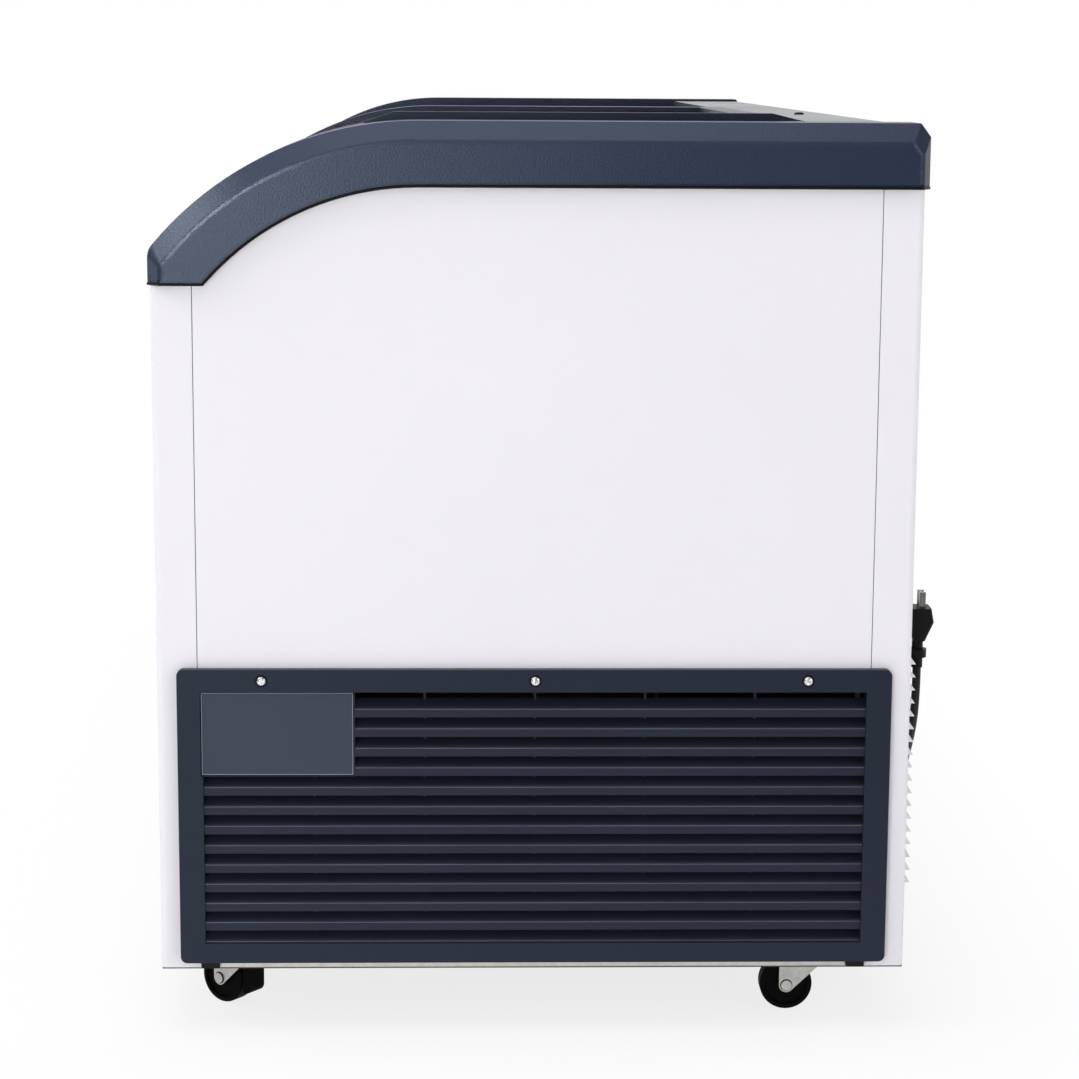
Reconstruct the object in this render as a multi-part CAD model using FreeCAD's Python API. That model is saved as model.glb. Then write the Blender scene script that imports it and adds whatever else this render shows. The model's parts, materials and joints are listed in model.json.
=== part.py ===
"""Chest freezer with a curved front, two sliding glass lids and a vented machine end.

Millimetres. X runs along the length with the machine end at +X, Y runs from the customer's
side (-Y) to the rear (+Y), Z is up from the floor. The origin is on the floor under the middle.
"""
import FreeCAD, Part
import math
import os

os.makedirs("parts", exist_ok=True)
V = FreeCAD.Vector

# Overall sizes, over the two end caps
length = 1800.0
depth = 698.0
crest_height = 841.0
ground_clearance = 60.0

# Curve of the top, shared by caps, rails, lids and the walls under them
curve_setback = 242.0
curve_fall = 145.0
nose_face = 29.3
cap_band = 57.0

# End caps
cap_width = 76.0
cap_proud = 10.0
cap_front_overhang = 2.0
cap_rear_overhang = 4.0
cap_nose_radius = 18.0
cap_rear_slope = 9.0
cap_rear_fall = 12.0
cap_wall = 3.5
cap_lap = 8.0
bevel_drop = 18.0
bevel_depth = 14.0
bevel_front = 12.0
bevel_rear = 8.0
bevel_nose_radius = 8.0
bevel_round = 8.0
cap_lip_height = 3.0
cap_lip_step = 2.0

# Sheet metal body
sheet = 1.2
base_sheet = 1.5
base_flange = 21.0
base_inset = 1.0
wrap = 37.0
bend_radius = 6.0
seam = 0.8

# Insulated tub
end_wall = 64.0
front_wall = 61.0
rear_wall = 60.0
floor_foam = 52.0
step_foam = 44.0
liner_sheet = 1.0
liner_radius = 20.0
evaporator_recess = 9.0
evaporator_bottom = 420.0
evaporator_pitch = 45.0
evaporator_turns = 4
evaporator_tube = 8.0
evaporator_clearance = 0.2
evaporator_tail = 72.0
evaporator_climb_margin = 96.0

# Machine compartment at the +X end
compartment_length = 349.0
compartment_height = 286.0

# Lid levels, measured from the wall top along the curve's radius
lower_ledge = 17.5
upper_ledge = 35.0
lid_thickness = 14.0
lid_gap = 0.3
glass = 4.0
glass_clearance = 0.2
glass_bite = 9.0
lid_frame_width = 40.0
runner_width = 30.0
lid_overlap = 40.0
lid_end_gap = 2.0
ledge_width = 8.0
rail_side_gap = 2.0
upper_front_angle = 45.0
lower_front_angle = 41.5
rail_inner_angle = 38.0
rail_chamber_angle = 39.8
rail_step_angle = 0.4
rear_rail_inner = 117.0
rear_rail_drop = 3.0
rear_rail_radius = 10.0
rail_skirt = 1.5
rail_wall = 3.5
rail_underside = 5.0

# Grip ridge on each lid's outer end frame
ridge_height = 6.5
ridge_width = 14.0
ridge_setback = 6.0
ridge_front_run = 51.0
ridge_rear_margin = 2.0
ridge_ramp = 27.0

# Brush strip under the upper lid
brush_height = 2.9
brush_width = 10.0

# Vent grille
grille_margin = 19.0
grille_height = 278.0
grille_lift = 8.0
grille_depth = 8.0
grille_radius = 6.0
grille_wall = 3.0
grille_side = 23.0
grille_top = 21.0
grille_foot = 18.5
blade_count = 13
blade_pitch = 18.4
blade_first = 23.9
blade_lip = 9.0
blade_wall = 2.0
blade_edge = 1.2
blade_reach = 12.5
blade_rise = 6.5
blade_setback = 2.5
rib_count = 5
rib_width = 2.0
rib_depth = 4.0
plate_width = 139.0
plate_height = 79.5
plate_thickness = 2.0
plate_gap = 0.8
plate_lead = 2.0
screw_pitch = 250.0
screw_radius = 4.2
screw_head = 2.0
screw_shank_radius = 2.0
screw_shank = 9.0
clip_inset = 27.0
clip_width = 17.0
clip_height = 8.0
clip_depth = 5.0

# Pressed louvres in the rear panel
louvre_count = 18
louvre_pitch = 12.3
louvre_bottom = 136.0
louvre_rise = 8.0
louvre_proud = 7.0
louvre_length = 265.0
louvre_end = 20.0

# Refrigeration machine
compressor_radius = 82.0
compressor_height = 185.0
compressor_lift = 18.0
compressor_inset_x = 150.0
compressor_inset_y = 180.0
compressor_dome = 34.0
compressor_weld = 3.0
bracket_sheet = 3.0
bracket_half = 95.0
bracket_bar = 34.0
grommet_radius = 11.0
grommet_hole_radius = 6.0
grommet_clearance = 0.2
grommet_margin = 2.0
grommet_head_step = 2.0
relay_width = 62.0
relay_height = 66.0
relay_depth = 40.0
relay_round = 6.0
condenser_inset = 57.0
condenser_width = 260.0
condenser_height = 156.0
condenser_depth = 34.0
condenser_setback = 24.0
fin_count = 22
fin_sheet = 0.8
condenser_tube = 8.0
condenser_rows = 5
fan_radius = 66.0
fan_hub_radius = 18.0
fan_hub_length = 20.0
fan_blades = 5
fan_blade_chord = 46.0
fan_blade_sheet = 2.0
fan_blade_pitch = 32.0
fan_shaft_radius = 3.0
fan_bore_clearance = 0.05
shroud_sheet = 1.5
shroud_clearance = 5.0
shroud_flange = 12.0
motor_radius = 32.0
motor_length = 46.0
motor_gap = 9.0
motor_strap = 14.0
motor_round = 4.0
shaft_end_gap = 1.0
pipe_radius = 3.5
pipe_bend = 16.0
pipe_lead = 38.0
drier_radius = 10.0
drier_length = 90.0

# Casters
caster_inset_x = 64.0
caster_inset_y = 77.0
front_caster_inset_x = 72.0
front_caster_inset_y = 75.0
wheel_radius = 25.0
wheel_width = 20.0
wheel_round = 3.0
wheel_recess = 2.5
wheel_hub_radius = 8.0
wheel_rim = 5.0
caster_trail = 26.0
axle_radius = 3.0
running_clearance = 0.06
fork_sheet = 2.0
fork_gap = 1.0
fork_boss_radius = 7.0
fork_leg_reach = 12.0
fork_crown_radius = 17.0
crown_clearance = 1.5
race_gap = 0.3
race_radius = 16.0
caster_plate = 3.0
caster_plate_half = 28.0
caster_plate_round = 5.0
kingpin_radius = 4.0
kingpin_head_radius = 6.5
kingpin_head = 2.2
rivet_radius = 5.0
rivet_head = 1.6
pedal_width = 18.0
pedal_pivot_out = 27.0
pedal_pivot_up = 19.0
pedal_pin_radius = 2.0
pedal_boss = 4.0
pedal_top = 3.0
pedal_reach = 10.7
pedal_drop = 30.0
pedal_round = 8.0
pedal_shoe = 9.0
pedal_shoe_rise = 2.0
front_caster_turn = -38.0

# Mains lead: plug, clip, strain relief and the coil on the floor
cord_radius = 4.0
plug_inset_x = 70.0
plug_gap = 3.0
plug_neck_bottom = 332.0
plug_neck_radius = 5.2
plug_neck = 29.0
plug_shoulder = 2.0
plug_body = 29.0
plug_half_width = 13.0
plug_half_depth = 13.2
plug_swell = 15.7
plug_taper = 2.5
plug_round = 3.0
blade_pin_length = 15.0
blade_pin_width = 6.0
blade_pin_sheet = 1.6
blade_pin_pitch = 12.7
blade_pin_forward = 2.5
earth_pin_radius = 2.4
earth_pin_back = 8.0
clip_ring = 3.0
clip_ring_height = 8.0
clip_rise = 10.0
clip_clearance = 0.3
clip_stalk = 10.0
gland_height = 110.0
gland_drop = 16.0
gland_radius = 9.0
gland_flange_radius = 14.0
gland_flange = 3.0
gland_stem_radius = 6.0
gland_stem = 10.0
gland_clearance = 0.2
gland_neck = 2.0
gland_wall = 1.5
coil_outer = 54.0
coil_pitch = 8.8
coil_half_turns = 5
coil_inset_x = 250.0
coil_inset_y = 75.0
tie_sheet = 1.0
tie_width = 10.0
tie_clearance = 0.6
tie_round = 2.0
floor_gap = 0.2
cord_arc_share = 0.45
coil_skip = 60.0

# Places that follow from the sizes above
half_length = length / 2
panel_x = half_length - cap_proud
cap_in = half_length - cap_width
cap_front = -depth / 2
cap_rear = depth / 2
body_front = cap_front + cap_front_overhang
body_rear = cap_rear - cap_rear_overhang
curve_drop = curve_fall - nose_face
curve_radius = (curve_setback ** 2 + curve_drop ** 2) / (2 * curve_drop)
curve_y = cap_front + curve_setback
curve_z = crest_height - curve_radius
cap_nose_height = crest_height - curve_fall
cap_under_radius = curve_radius - cap_band
wall_radius = cap_under_radius + cap_lap
wall_top = curve_z + wall_radius
nose_top = cap_nose_height + cap_lap
floor_top = ground_clearance + base_sheet
seam_front = body_front + wrap
seam_rear = body_rear - wrap
tub_x = panel_x - end_wall
tub_front = body_front + front_wall
tub_rear = body_rear - rear_wall
tub_floor = floor_top + floor_foam
compartment_x = panel_x - compartment_length
compartment_top = floor_top + compartment_height
step_x = compartment_x - sheet - step_foam
step_top = compartment_top + sheet + step_foam
lower_bottom = wall_radius + lower_ledge + lid_gap
upper_bottom = wall_radius + upper_ledge + lid_gap
lid_rear_upper = body_rear - rear_rail_inner + 2 * ledge_width
lid_rear_lower = lid_rear_upper - ledge_width
rear_rail_y = body_rear - rear_rail_inner
lid_outer_x = cap_in - lid_end_gap
lid_inner_x = lid_overlap / 2
grille_x = panel_x + grille_depth
grille_front = body_front + grille_margin
grille_rear = body_rear - grille_margin
grille_z = ground_clearance + grille_lift


class Outline:
    """A closed outline of lines and arcs in one of the main planes, pulled straight into a solid."""

    def __init__(self, plane, first, second):
        self.plane = plane
        self.start = (first, second)
        self.steps = []

    def line(self, first, second):
        self.steps.append((None, (first, second)))
        return self

    def arc(self, through, end):
        self.steps.append((through, end))
        return self

    def place(self, point, level):
        first, second = point
        if self.plane == "yz":
            return V(level, first, second)
        if self.plane == "xz":
            return V(first, level, second)
        return V(first, second, level)

    def wire(self, level):
        edges = []
        here = self.place(self.start, level)
        steps = list(self.steps)
        if steps[-1][1] != self.start:
            steps.append((None, self.start))
        for through, end in steps:
            there = self.place(end, level)
            if through is None:
                edges.append(Part.LineSegment(here, there).toShape())
            else:
                edges.append(Part.Arc(here, self.place(through, level), there).toShape())
            here = there
        return Part.Wire(edges)

    def solid(self, low, high):
        pull = {"yz": V(high - low, 0, 0), "xz": V(0, high - low, 0), "xy": V(0, 0, high - low)}
        return Part.Face(self.wire(low)).extrude(pull[self.plane])


def block(x0, x1, y0, y1, z0, z1):
    return Part.makeBox(x1 - x0, y1 - y0, z1 - z0, V(x0, y0, z0))


def rod(radius, start, end):
    """A round bar between two points."""
    along = end - start
    return Part.makeCylinder(radius, along.Length, start, along)


def rounded_block(x0, x1, y0, y1, z0, z1, radius, axis):
    """A block whose four edges along one axis are rounded."""
    solid = block(x0, x1, y0, y1, z0, z1)
    edges = [e for e in solid.Edges if abs(e.tangentAt(e.FirstParameter).dot(axis)) > 0.99]
    return solid.makeFillet(radius, edges)


def joined(shapes):
    """Shapes that meet, fused into one solid with no seams left on flat faces."""
    return shapes[0].fuse(shapes[1:]).removeSplitter()


def on_curve(radius, degrees):
    """A point on the top curve, an angle forward of straight up."""
    turn = math.radians(degrees)
    return (curve_y - radius * math.sin(turn), curve_z + radius * math.cos(turn))


def curve_at_height(radius, height):
    """The front point of a curve of this radius at a height."""
    rise = height - curve_z
    return (curve_y - math.sqrt(radius ** 2 - rise ** 2), height)


def angle_of(point):
    return math.degrees(math.atan2(curve_y - point[0], point[1] - curve_z))


def curve_between(radius, first, second):
    """A middle point for an arc of the top curve between two points on it."""
    return on_curve(radius, (angle_of(first) + angle_of(second)) / 2)


def crest(radius):
    return (curve_y, curve_z + radius)


def body_outline(inset):
    """Side outline of the white body, drawn in by an inset at front, rear and top."""
    radius = wall_radius - inset
    shoulder = curve_at_height(radius, nose_top - inset)
    outline = Outline("yz", body_front + inset, floor_top)
    outline.line(body_front + inset, nose_top - inset)
    outline.line(*shoulder)
    outline.arc(curve_between(radius, shoulder, crest(radius)), crest(radius))
    outline.line(body_rear - inset, curve_z + radius)
    outline.line(body_rear - inset, floor_top)
    return outline


def curved_band(low, high, front_angle, rear_y, x0, x1):
    """A band that follows the top from a front angle, over the crest, to a rear edge."""
    half = front_angle / 2
    outline = Outline("yz", *on_curve(low, front_angle))
    outline.arc(on_curve(low, half), crest(low))
    outline.line(rear_y, curve_z + low)
    outline.line(rear_y, curve_z + high)
    outline.line(*crest(high))
    outline.arc(on_curve(high, half), on_curve(high, front_angle))
    return outline.solid(x0, x1)


def arc_band(low, high, front_angle, back_angle, x0, x1):
    """A band that follows the front curve only, between two angles."""
    middle = (front_angle + back_angle) / 2
    outline = Outline("yz", *on_curve(low, front_angle))
    outline.arc(on_curve(low, middle), on_curve(low, back_angle))
    outline.line(*on_curve(high, back_angle))
    outline.arc(on_curve(high, middle), on_curve(high, front_angle))
    return outline.solid(x0, x1)


def rounded_wire(points, share):
    """A path of straight runs with tangent arcs as large as the shorter run allows."""
    edges = []
    radii = []
    here = points[0]
    for before, corner, after in zip(points, points[1:], points[2:]):
        inward = (before - corner).normalize()
        outward = (after - corner).normalize()
        turn = math.pi - inward.getAngle(outward)
        cut = share * min((before - corner).Length, (after - corner).Length)
        radius = cut / math.tan(turn / 2)
        radii.append(radius)
        first = corner + inward * cut
        last = corner + outward * cut
        middle_way = (inward + outward).normalize()
        centre = corner + middle_way * (radius / math.cos(turn / 2))
        edges.append(Part.LineSegment(here, first).toShape())
        edges.append(Part.Arc(first, centre - middle_way * radius, last).toShape())
        here = last
    edges.append(Part.LineSegment(here, points[-1]).toShape())
    return Part.Wire(edges), radii


def tube_along(wire, radius):
    """A round tube swept along a smooth path."""
    start = wire.OrderedEdges[0]
    ring = Part.makeCircle(radius, wire.OrderedVertexes[0].Point, start.tangentAt(start.FirstParameter))
    return wire.makePipeShell([Part.Wire([ring])], True, False)


def bent_pipe(points, radius, bend):
    """A pipe with one bend radius at every corner."""
    edges = []
    here = points[0]
    for before, corner, after in zip(points, points[1:], points[2:]):
        inward = (before - corner).normalize()
        outward = (after - corner).normalize()
        turn = math.pi - inward.getAngle(outward)
        cut = bend * math.tan(turn / 2)
        middle_way = (inward + outward).normalize()
        centre = corner + middle_way * (bend / math.cos(turn / 2))
        first = corner + inward * cut
        last = corner + outward * cut
        edges.append(Part.LineSegment(here, first).toShape())
        edges.append(Part.Arc(first, centre - middle_way * bend, last).toShape())
        here = last
    edges.append(Part.LineSegment(here, points[-1]).toShape())
    return tube_along(Part.Wire(edges), radius)


def base_pan():
    """Galvanised tray; its bottom edge shows as a thin line below the white panels."""
    plate = block(-panel_x + base_inset, panel_x - base_inset, body_front + base_inset,
                  body_rear - base_inset, ground_clearance, floor_top)
    outer = inside_sheets(sheet, floor_top, floor_top + base_flange)
    inner = inside_sheets(sheet + base_sheet, floor_top, floor_top + base_flange)
    return joined([plate, outer.cut(inner)])


def inside_sheets(inset, low, high):
    """The room inside the body's sheets, with the corners rounded as the sheets are bent."""
    return rounded_block(-panel_x + inset, panel_x - inset, body_front + inset, body_rear - inset,
                         low, high, bend_radius - inset, V(0, 0, 1))


def wrapped_panel(face_y, inward, height):
    """A sheet across the whole length whose ends wrap round the corners."""
    edge_y = face_y + inward * wrap
    low, high = min(face_y, edge_y), max(face_y, edge_y)
    outer = rounded_block(-panel_x, panel_x, low - wrap, high + wrap, floor_top, height,
                          bend_radius, V(0, 0, 1))
    inner = rounded_block(-panel_x + sheet, panel_x - sheet, low - wrap + sheet, high + wrap - sheet,
                          floor_top, height, bend_radius - sheet, V(0, 0, 1))
    shift = V(0, inward * wrap, 0)
    ring = outer.cut(inner).translated(shift)
    return ring.common(block(-panel_x, panel_x, low, high, floor_top, height))


def front_panel():
    return wrapped_panel(body_front, 1, nose_top)


def louvre(z):
    """One pressed hood: it slopes out from the sheet and opens downwards."""
    x1 = panel_x - louvre_end
    x0 = x1 - louvre_length
    outline = Outline("yz", body_rear - sheet / 2, z)
    outline.line(body_rear + louvre_proud, z)
    outline.line(body_rear + louvre_proud - sheet / 2, z + sheet)
    outline.line(body_rear - sheet / 2, z + louvre_rise)
    return outline.solid(x0, x1)


def louvre_mouth(z):
    x1 = panel_x - louvre_end - sheet
    x0 = panel_x - louvre_end - louvre_length + sheet
    outline = Outline("yz", body_rear - 2 * sheet, z)
    outline.line(body_rear + louvre_proud - sheet, z)
    outline.line(body_rear - 2 * sheet, z + louvre_rise - sheet)
    return outline.solid(x0, x1)


def rear_panel():
    heights = [louvre_bottom + i * louvre_pitch for i in range(louvre_count)]
    panel = wrapped_panel(body_rear, -1, wall_top)
    panel = joined([panel] + [louvre(z) for z in heights])
    hole = rod(gland_stem_radius + gland_clearance, V(gland_x, body_rear - 2 * sheet, gland_height),
               V(gland_x, body_rear + sheet, gland_height))
    return panel.cut([louvre_mouth(z) for z in heights] + [hole])


def end_panel(side, bottom):
    """White sheet between the two corner seams, cut to the curve of the top."""
    x0, x1 = sorted([side * (panel_x - sheet), side * panel_x])
    whole = body_outline(0).solid(x0, x1)
    panel = whole.common(block(x0, x1, seam_front + seam, seam_rear - seam, bottom, crest_height))
    if bottom == floor_top:
        return panel
    return panel.cut([rod(screw_shank_radius, V(x0, y, z), V(x1, y, z)) for y, z in screw_places()])


def tub_shape(grow):
    """The space in the tub, with its step over the machine compartment, grown by a margin."""
    outline = Outline("xz", -tub_x - grow, tub_floor - grow)
    outline.line(step_x + grow, tub_floor - grow)
    outline.line(step_x + grow, step_top - grow)
    outline.line(tub_x + grow, step_top - grow)
    outline.line(tub_x + grow, crest_height)
    outline.line(-tub_x - grow, crest_height)
    solid = outline.solid(tub_front - grow, tub_rear + grow)
    upright = [e for e in solid.Edges if abs(e.tangentAt(e.FirstParameter).z) > 0.99]
    outer = [e for e in upright if abs(e.CenterOfMass.x) > step_x + 2 * grow or e.CenterOfMass.x < 0]
    return solid.makeFillet(liner_radius + grow, outer)


def liner():
    shell = tub_shape(0).cut(tub_shape(-liner_sheet))
    return shell.common(body_outline(sheet).solid(-panel_x, panel_x))


def compartment_wall():
    """Folded sheet that closes the machine compartment off from the foam."""
    outline = Outline("xz", compartment_x - sheet, floor_top)
    outline.line(compartment_x, floor_top)
    outline.line(compartment_x, compartment_top)
    outline.line(panel_x - sheet, compartment_top)
    outline.line(panel_x - sheet, compartment_top + sheet)
    outline.line(compartment_x - sheet, compartment_top + sheet)
    wall = outline.solid(body_front + sheet, body_rear - sheet)
    wall = wall.common(inside_sheets(sheet, floor_top, crest_height))
    return wall.cut([base_pan(), suction_bore()])


def suction_bore():
    """Where the suction pipe passes through the wall of the compartment into the foam."""
    return rod(pipe_radius, V(suction_x, suction_y, compartment_top),
               V(suction_x, suction_y, step_top - step_foam / 2))


def insulation():
    foam = body_outline(sheet).solid(-panel_x, panel_x)
    foam = foam.common(inside_sheets(sheet, floor_top, crest_height))
    machine = block(compartment_x - sheet, panel_x, body_front, body_rear, floor_top,
                    compartment_top + sheet)
    top = evaporator_bottom + (evaporator_turns - 1) * evaporator_pitch + evaporator_recess
    recess = tub_shape(evaporator_recess).common(
        block(-panel_x, panel_x, body_front, body_rear, evaporator_bottom - evaporator_recess, top))
    return foam.cut([machine, tub_shape(0), recess, base_pan(), suction_bore()])


def evaporator():
    """One copper tube wound round the tub: level turns that climb along the rear wall."""
    out = evaporator_tube / 2 + evaporator_clearance
    bend = liner_radius + out
    x = tub_x + out
    front, rear = tub_front - out, tub_rear + out
    points = [V(-x + evaporator_tail, rear, evaporator_bottom)]
    for turn in range(evaporator_turns):
        z = evaporator_bottom + turn * evaporator_pitch
        points += [V(-x, rear, z), V(-x, front, z), V(x, front, z), V(x, rear, z)]
        if turn < evaporator_turns - 1:
            points += [V(x - evaporator_climb_margin, rear, z),
                       V(-x + evaporator_climb_margin, rear, z + evaporator_pitch)]
    points.append(V(x - evaporator_tail, rear, z))
    return bent_pipe(points, evaporator_tube / 2, bend)


def nose_fillet(front, radius, nose):
    """Centre and ends of the rounding between the cap's front face and its curve."""
    y = front + nose
    z = curve_z + math.sqrt((radius - nose) ** 2 - (y - curve_y) ** 2)
    reach = radius / (radius - nose)
    end = (curve_y + (y - curve_y) * reach, curve_z + (z - curve_z) * reach)
    turn = (math.pi + math.atan2(end[1] - z, end[0] - y)) / 2
    middle = (y + nose * math.cos(turn), z + nose * math.sin(turn))
    return (front, z), middle, end


def cap_outline(front, rear, radius, nose):
    """Side outline of an end cap, from its front edge over the curve to the rear."""
    under = cap_under_radius + cap_lip_height
    bottom = cap_nose_height + cap_lip_height
    top = curve_z + radius
    low, middle, high = nose_fillet(front, radius, nose)
    heel = curve_at_height(under, bottom)
    outline = Outline("yz", front, bottom)
    outline.line(*low)
    outline.arc(middle, high)
    outline.arc(curve_between(radius, high, crest(radius)), crest(radius))
    outline.line(rear - cap_rear_slope, top)
    outline.line(rear, top - cap_rear_fall)
    outline.line(rear, curve_z + under)
    outline.line(*crest(under))
    outline.arc(curve_between(under, heel, crest(under)), heel)
    return outline


def lip_outline(front, rear):
    """Side outline of the thin stepped edge along the underside of a cap."""
    low, high = cap_under_radius, cap_under_radius + cap_lip_height
    heel_low = curve_at_height(low, cap_nose_height)
    heel_high = curve_at_height(high, cap_nose_height + cap_lip_height)
    outline = Outline("yz", front, cap_nose_height)
    outline.line(front, cap_nose_height + cap_lip_height)
    outline.line(*heel_high)
    outline.arc(curve_between(high, heel_high, crest(high)), crest(high))
    outline.line(rear, curve_z + high)
    outline.line(rear, curve_z + low)
    outline.line(*crest(low))
    outline.arc(curve_between(low, heel_low, crest(low)), heel_low)
    return outline


def cap_hollow():
    """The space inside a cap, open to the wall that the cap sits on."""
    radius = curve_radius - cap_wall
    front = cap_front + cap_wall
    low = (front, nose_top)
    rise = math.sqrt(radius ** 2 - (front - curve_y) ** 2)
    high = (front, curve_z + rise)
    shoulder = curve_at_height(wall_radius, nose_top)
    outline = Outline("yz", *low)
    outline.line(*high)
    outline.arc(curve_between(radius, high, crest(radius)), crest(radius))
    outline.line(cap_rear - cap_rear_fall, curve_z + radius)
    outline.line(cap_rear - cap_rear_fall, wall_top)
    outline.line(*crest(wall_radius))
    outline.arc(curve_between(wall_radius, shoulder, crest(wall_radius)), shoulder)
    return outline.solid(cap_in + cap_wall, half_length - bevel_depth - cap_wall)


def end_cap():
    """Moulded cap at the +X end: a bevelled shoulder with a soft edge, a lip below, a hollow inside."""
    face_front, face_rear = cap_front + bevel_front, cap_rear - bevel_rear
    outer = cap_outline(cap_front, cap_rear, curve_radius, cap_nose_radius)
    face = cap_outline(face_front, face_rear, curve_radius - bevel_drop, bevel_nose_radius)
    bevel_x = half_length - bevel_depth
    lip_x = half_length - cap_lip_step
    straight = outer.solid(cap_in, bevel_x)
    shoulder = Part.makeLoft([outer.wire(bevel_x), face.wire(half_length)], True, True)
    shoulder = shoulder.makeFillet(bevel_round, matching_edges(shoulder, face.wire(half_length).Edges[:6]))
    lip = lip_outline(cap_front, cap_rear).solid(cap_in, bevel_x)
    lip_end = Part.makeLoft([lip_outline(cap_front, cap_rear).wire(bevel_x),
                             lip_outline(face_front, face_rear).wire(lip_x)], True, True)
    cap = joined([straight, shoulder, lip, lip_end])
    return cap.cut([body_outline(0).solid(cap_in, panel_x), cap_hollow()])


def matching_edges(shape, wanted):
    """The edges of a shape that lie on the wanted ones."""
    places = [e.CenterOfMass for e in wanted]
    return [e for e in shape.Edges if any(e.CenterOfMass.isEqual(p, 0.01) for p in places)]


def other_end(shape):
    """The same piece at the -X end."""
    return shape.mirror(V(0, 0, 0), V(1, 0, 0))


def front_rail():
    """Stepped moulding on the front wall; each step carries one lid's front edge."""
    front = cap_front + cap_front_overhang - rail_skirt
    low, middle, high = nose_fillet(front, curve_radius, cap_nose_radius)
    step_upper = upper_front_angle + rail_step_angle
    step_lower = lower_front_angle + rail_step_angle
    ledge_upper = wall_radius + upper_ledge
    ledge_lower = wall_radius + lower_ledge
    shoulder = curve_at_height(wall_radius, nose_top)
    inner = on_curve(wall_radius, rail_inner_angle)
    outline = Outline("yz", front, cap_nose_height)
    outline.line(*low)
    outline.arc(middle, high)
    outline.arc(curve_between(curve_radius, high, on_curve(curve_radius, step_upper)),
                on_curve(curve_radius, step_upper))
    outline.line(*on_curve(ledge_upper, step_upper))
    outline.arc(on_curve(ledge_upper, (step_upper + step_lower) / 2), on_curve(ledge_upper, step_lower))
    outline.line(*on_curve(ledge_lower, step_lower))
    outline.arc(on_curve(ledge_lower, (step_lower + rail_inner_angle) / 2),
                on_curve(ledge_lower, rail_inner_angle))
    outline.line(*inner)
    outline.arc(curve_between(wall_radius, inner, shoulder), shoulder)
    outline.line(body_front, nose_top)
    outline.line(body_front, cap_nose_height)
    rail = outline.solid(-cap_in, cap_in)
    chamber = arc_band(wall_radius + rail_wall, wall_radius + lower_ledge - rail_wall,
                       step_upper, rail_chamber_angle, -cap_in, cap_in)
    return rail.cut(chamber)


def rear_rail():
    """Wide flat moulding on the rear wall with two steps for the lids' rear edges."""
    top = crest_height - rear_rail_drop
    back = body_rear + cap_rear_overhang - rail_skirt / 2
    upper_edge = lid_rear_upper + rail_side_gap
    lower_edge = lid_rear_lower + rail_side_gap
    corner = rear_rail_radius * (1 - math.sqrt(0.5))
    outline = Outline("yz", rear_rail_y, wall_top + rail_underside)
    outline.line(rear_rail_y, wall_top + lower_ledge)
    outline.line(lower_edge, wall_top + lower_ledge)
    outline.line(lower_edge, wall_top + upper_ledge)
    outline.line(upper_edge, wall_top + upper_ledge)
    outline.line(upper_edge, top)
    outline.line(back - rear_rail_radius, top)
    outline.arc((back - corner, top - corner), (back, top - rear_rail_radius))
    outline.line(back, wall_top - cap_lap)
    outline.line(body_rear, wall_top - cap_lap)
    outline.line(body_rear, wall_top)
    outline.line(tub_rear, wall_top)
    outline.line(tub_rear, wall_top + rail_underside)
    rail = outline.solid(-cap_in, cap_in)
    chamber = block(-cap_in, cap_in, upper_edge + rail_wall, back - rear_rail_radius,
                    wall_top + rail_underside + rail_wall, top - rail_wall)
    return rail.cut(chamber)


def lid_span(bottom):
    """Front angle and rear edge of the lid that runs at this level."""
    if bottom == upper_bottom:
        return upper_front_angle, lid_rear_upper
    return lower_front_angle, lid_rear_lower


def glass_levels(bottom):
    low = bottom + (lid_thickness - glass) / 2
    return low, low + glass


def lid_pane(bottom):
    """Bent glass pane; its edges sit in the slots of the four frame pieces."""
    front, rear = lid_span(bottom)
    low, high = glass_levels(bottom)
    inset = math.degrees((runner_width - glass_bite) / wall_radius)
    x0 = -lid_inner_x + lid_frame_width - glass_bite
    x1 = lid_outer_x - lid_frame_width + glass_bite
    return curved_band(low, high, front - inset, rear - runner_width + glass_bite, x0, x1)


def glass_slot(bottom):
    """The room that the frame pieces leave for the pane."""
    front, rear = lid_span(bottom)
    low, high = glass_levels(bottom)
    inset = math.degrees((runner_width - glass_bite) / wall_radius)
    x0 = -lid_inner_x + lid_frame_width - glass_bite
    x1 = lid_outer_x - lid_frame_width + glass_bite
    slack = glass_clearance
    return curved_band(low - slack, high + slack, front - inset, rear - runner_width + glass_bite,
                       x0, x1)


def lid_end(bottom, x0, x1):
    front, rear = lid_span(bottom)
    return curved_band(bottom, bottom + lid_thickness, front, rear, x0, x1)


def grip_ridge(bottom):
    """Raised bar with ramped ends on the flat of a lid's outer end frame."""
    rear = lid_span(bottom)[1] - ridge_rear_margin
    front = curve_y - ridge_front_run
    base = curve_z + bottom + lid_thickness / 2
    foot = curve_z + bottom + lid_thickness
    top = foot + ridge_height
    outline = Outline("yz", front, base)
    outline.line(front, foot - ridge_height / 2)
    outline.line(front + ridge_ramp, top)
    outline.line(rear - ridge_ramp, top)
    outline.line(rear, foot)
    outline.line(rear, base)
    x1 = lid_outer_x - ridge_setback
    return outline.solid(x1 - ridge_width, x1)


def lid_outer_end(bottom):
    frame = lid_end(bottom, lid_outer_x - lid_frame_width, lid_outer_x)
    return joined([frame, grip_ridge(bottom)]).cut(glass_slot(bottom))


def lid_inner_end(bottom):
    return lid_end(bottom, -lid_inner_x, -lid_inner_x + lid_frame_width).cut(glass_slot(bottom))


def runner_ends():
    return -lid_inner_x + lid_frame_width, lid_outer_x - lid_frame_width


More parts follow.
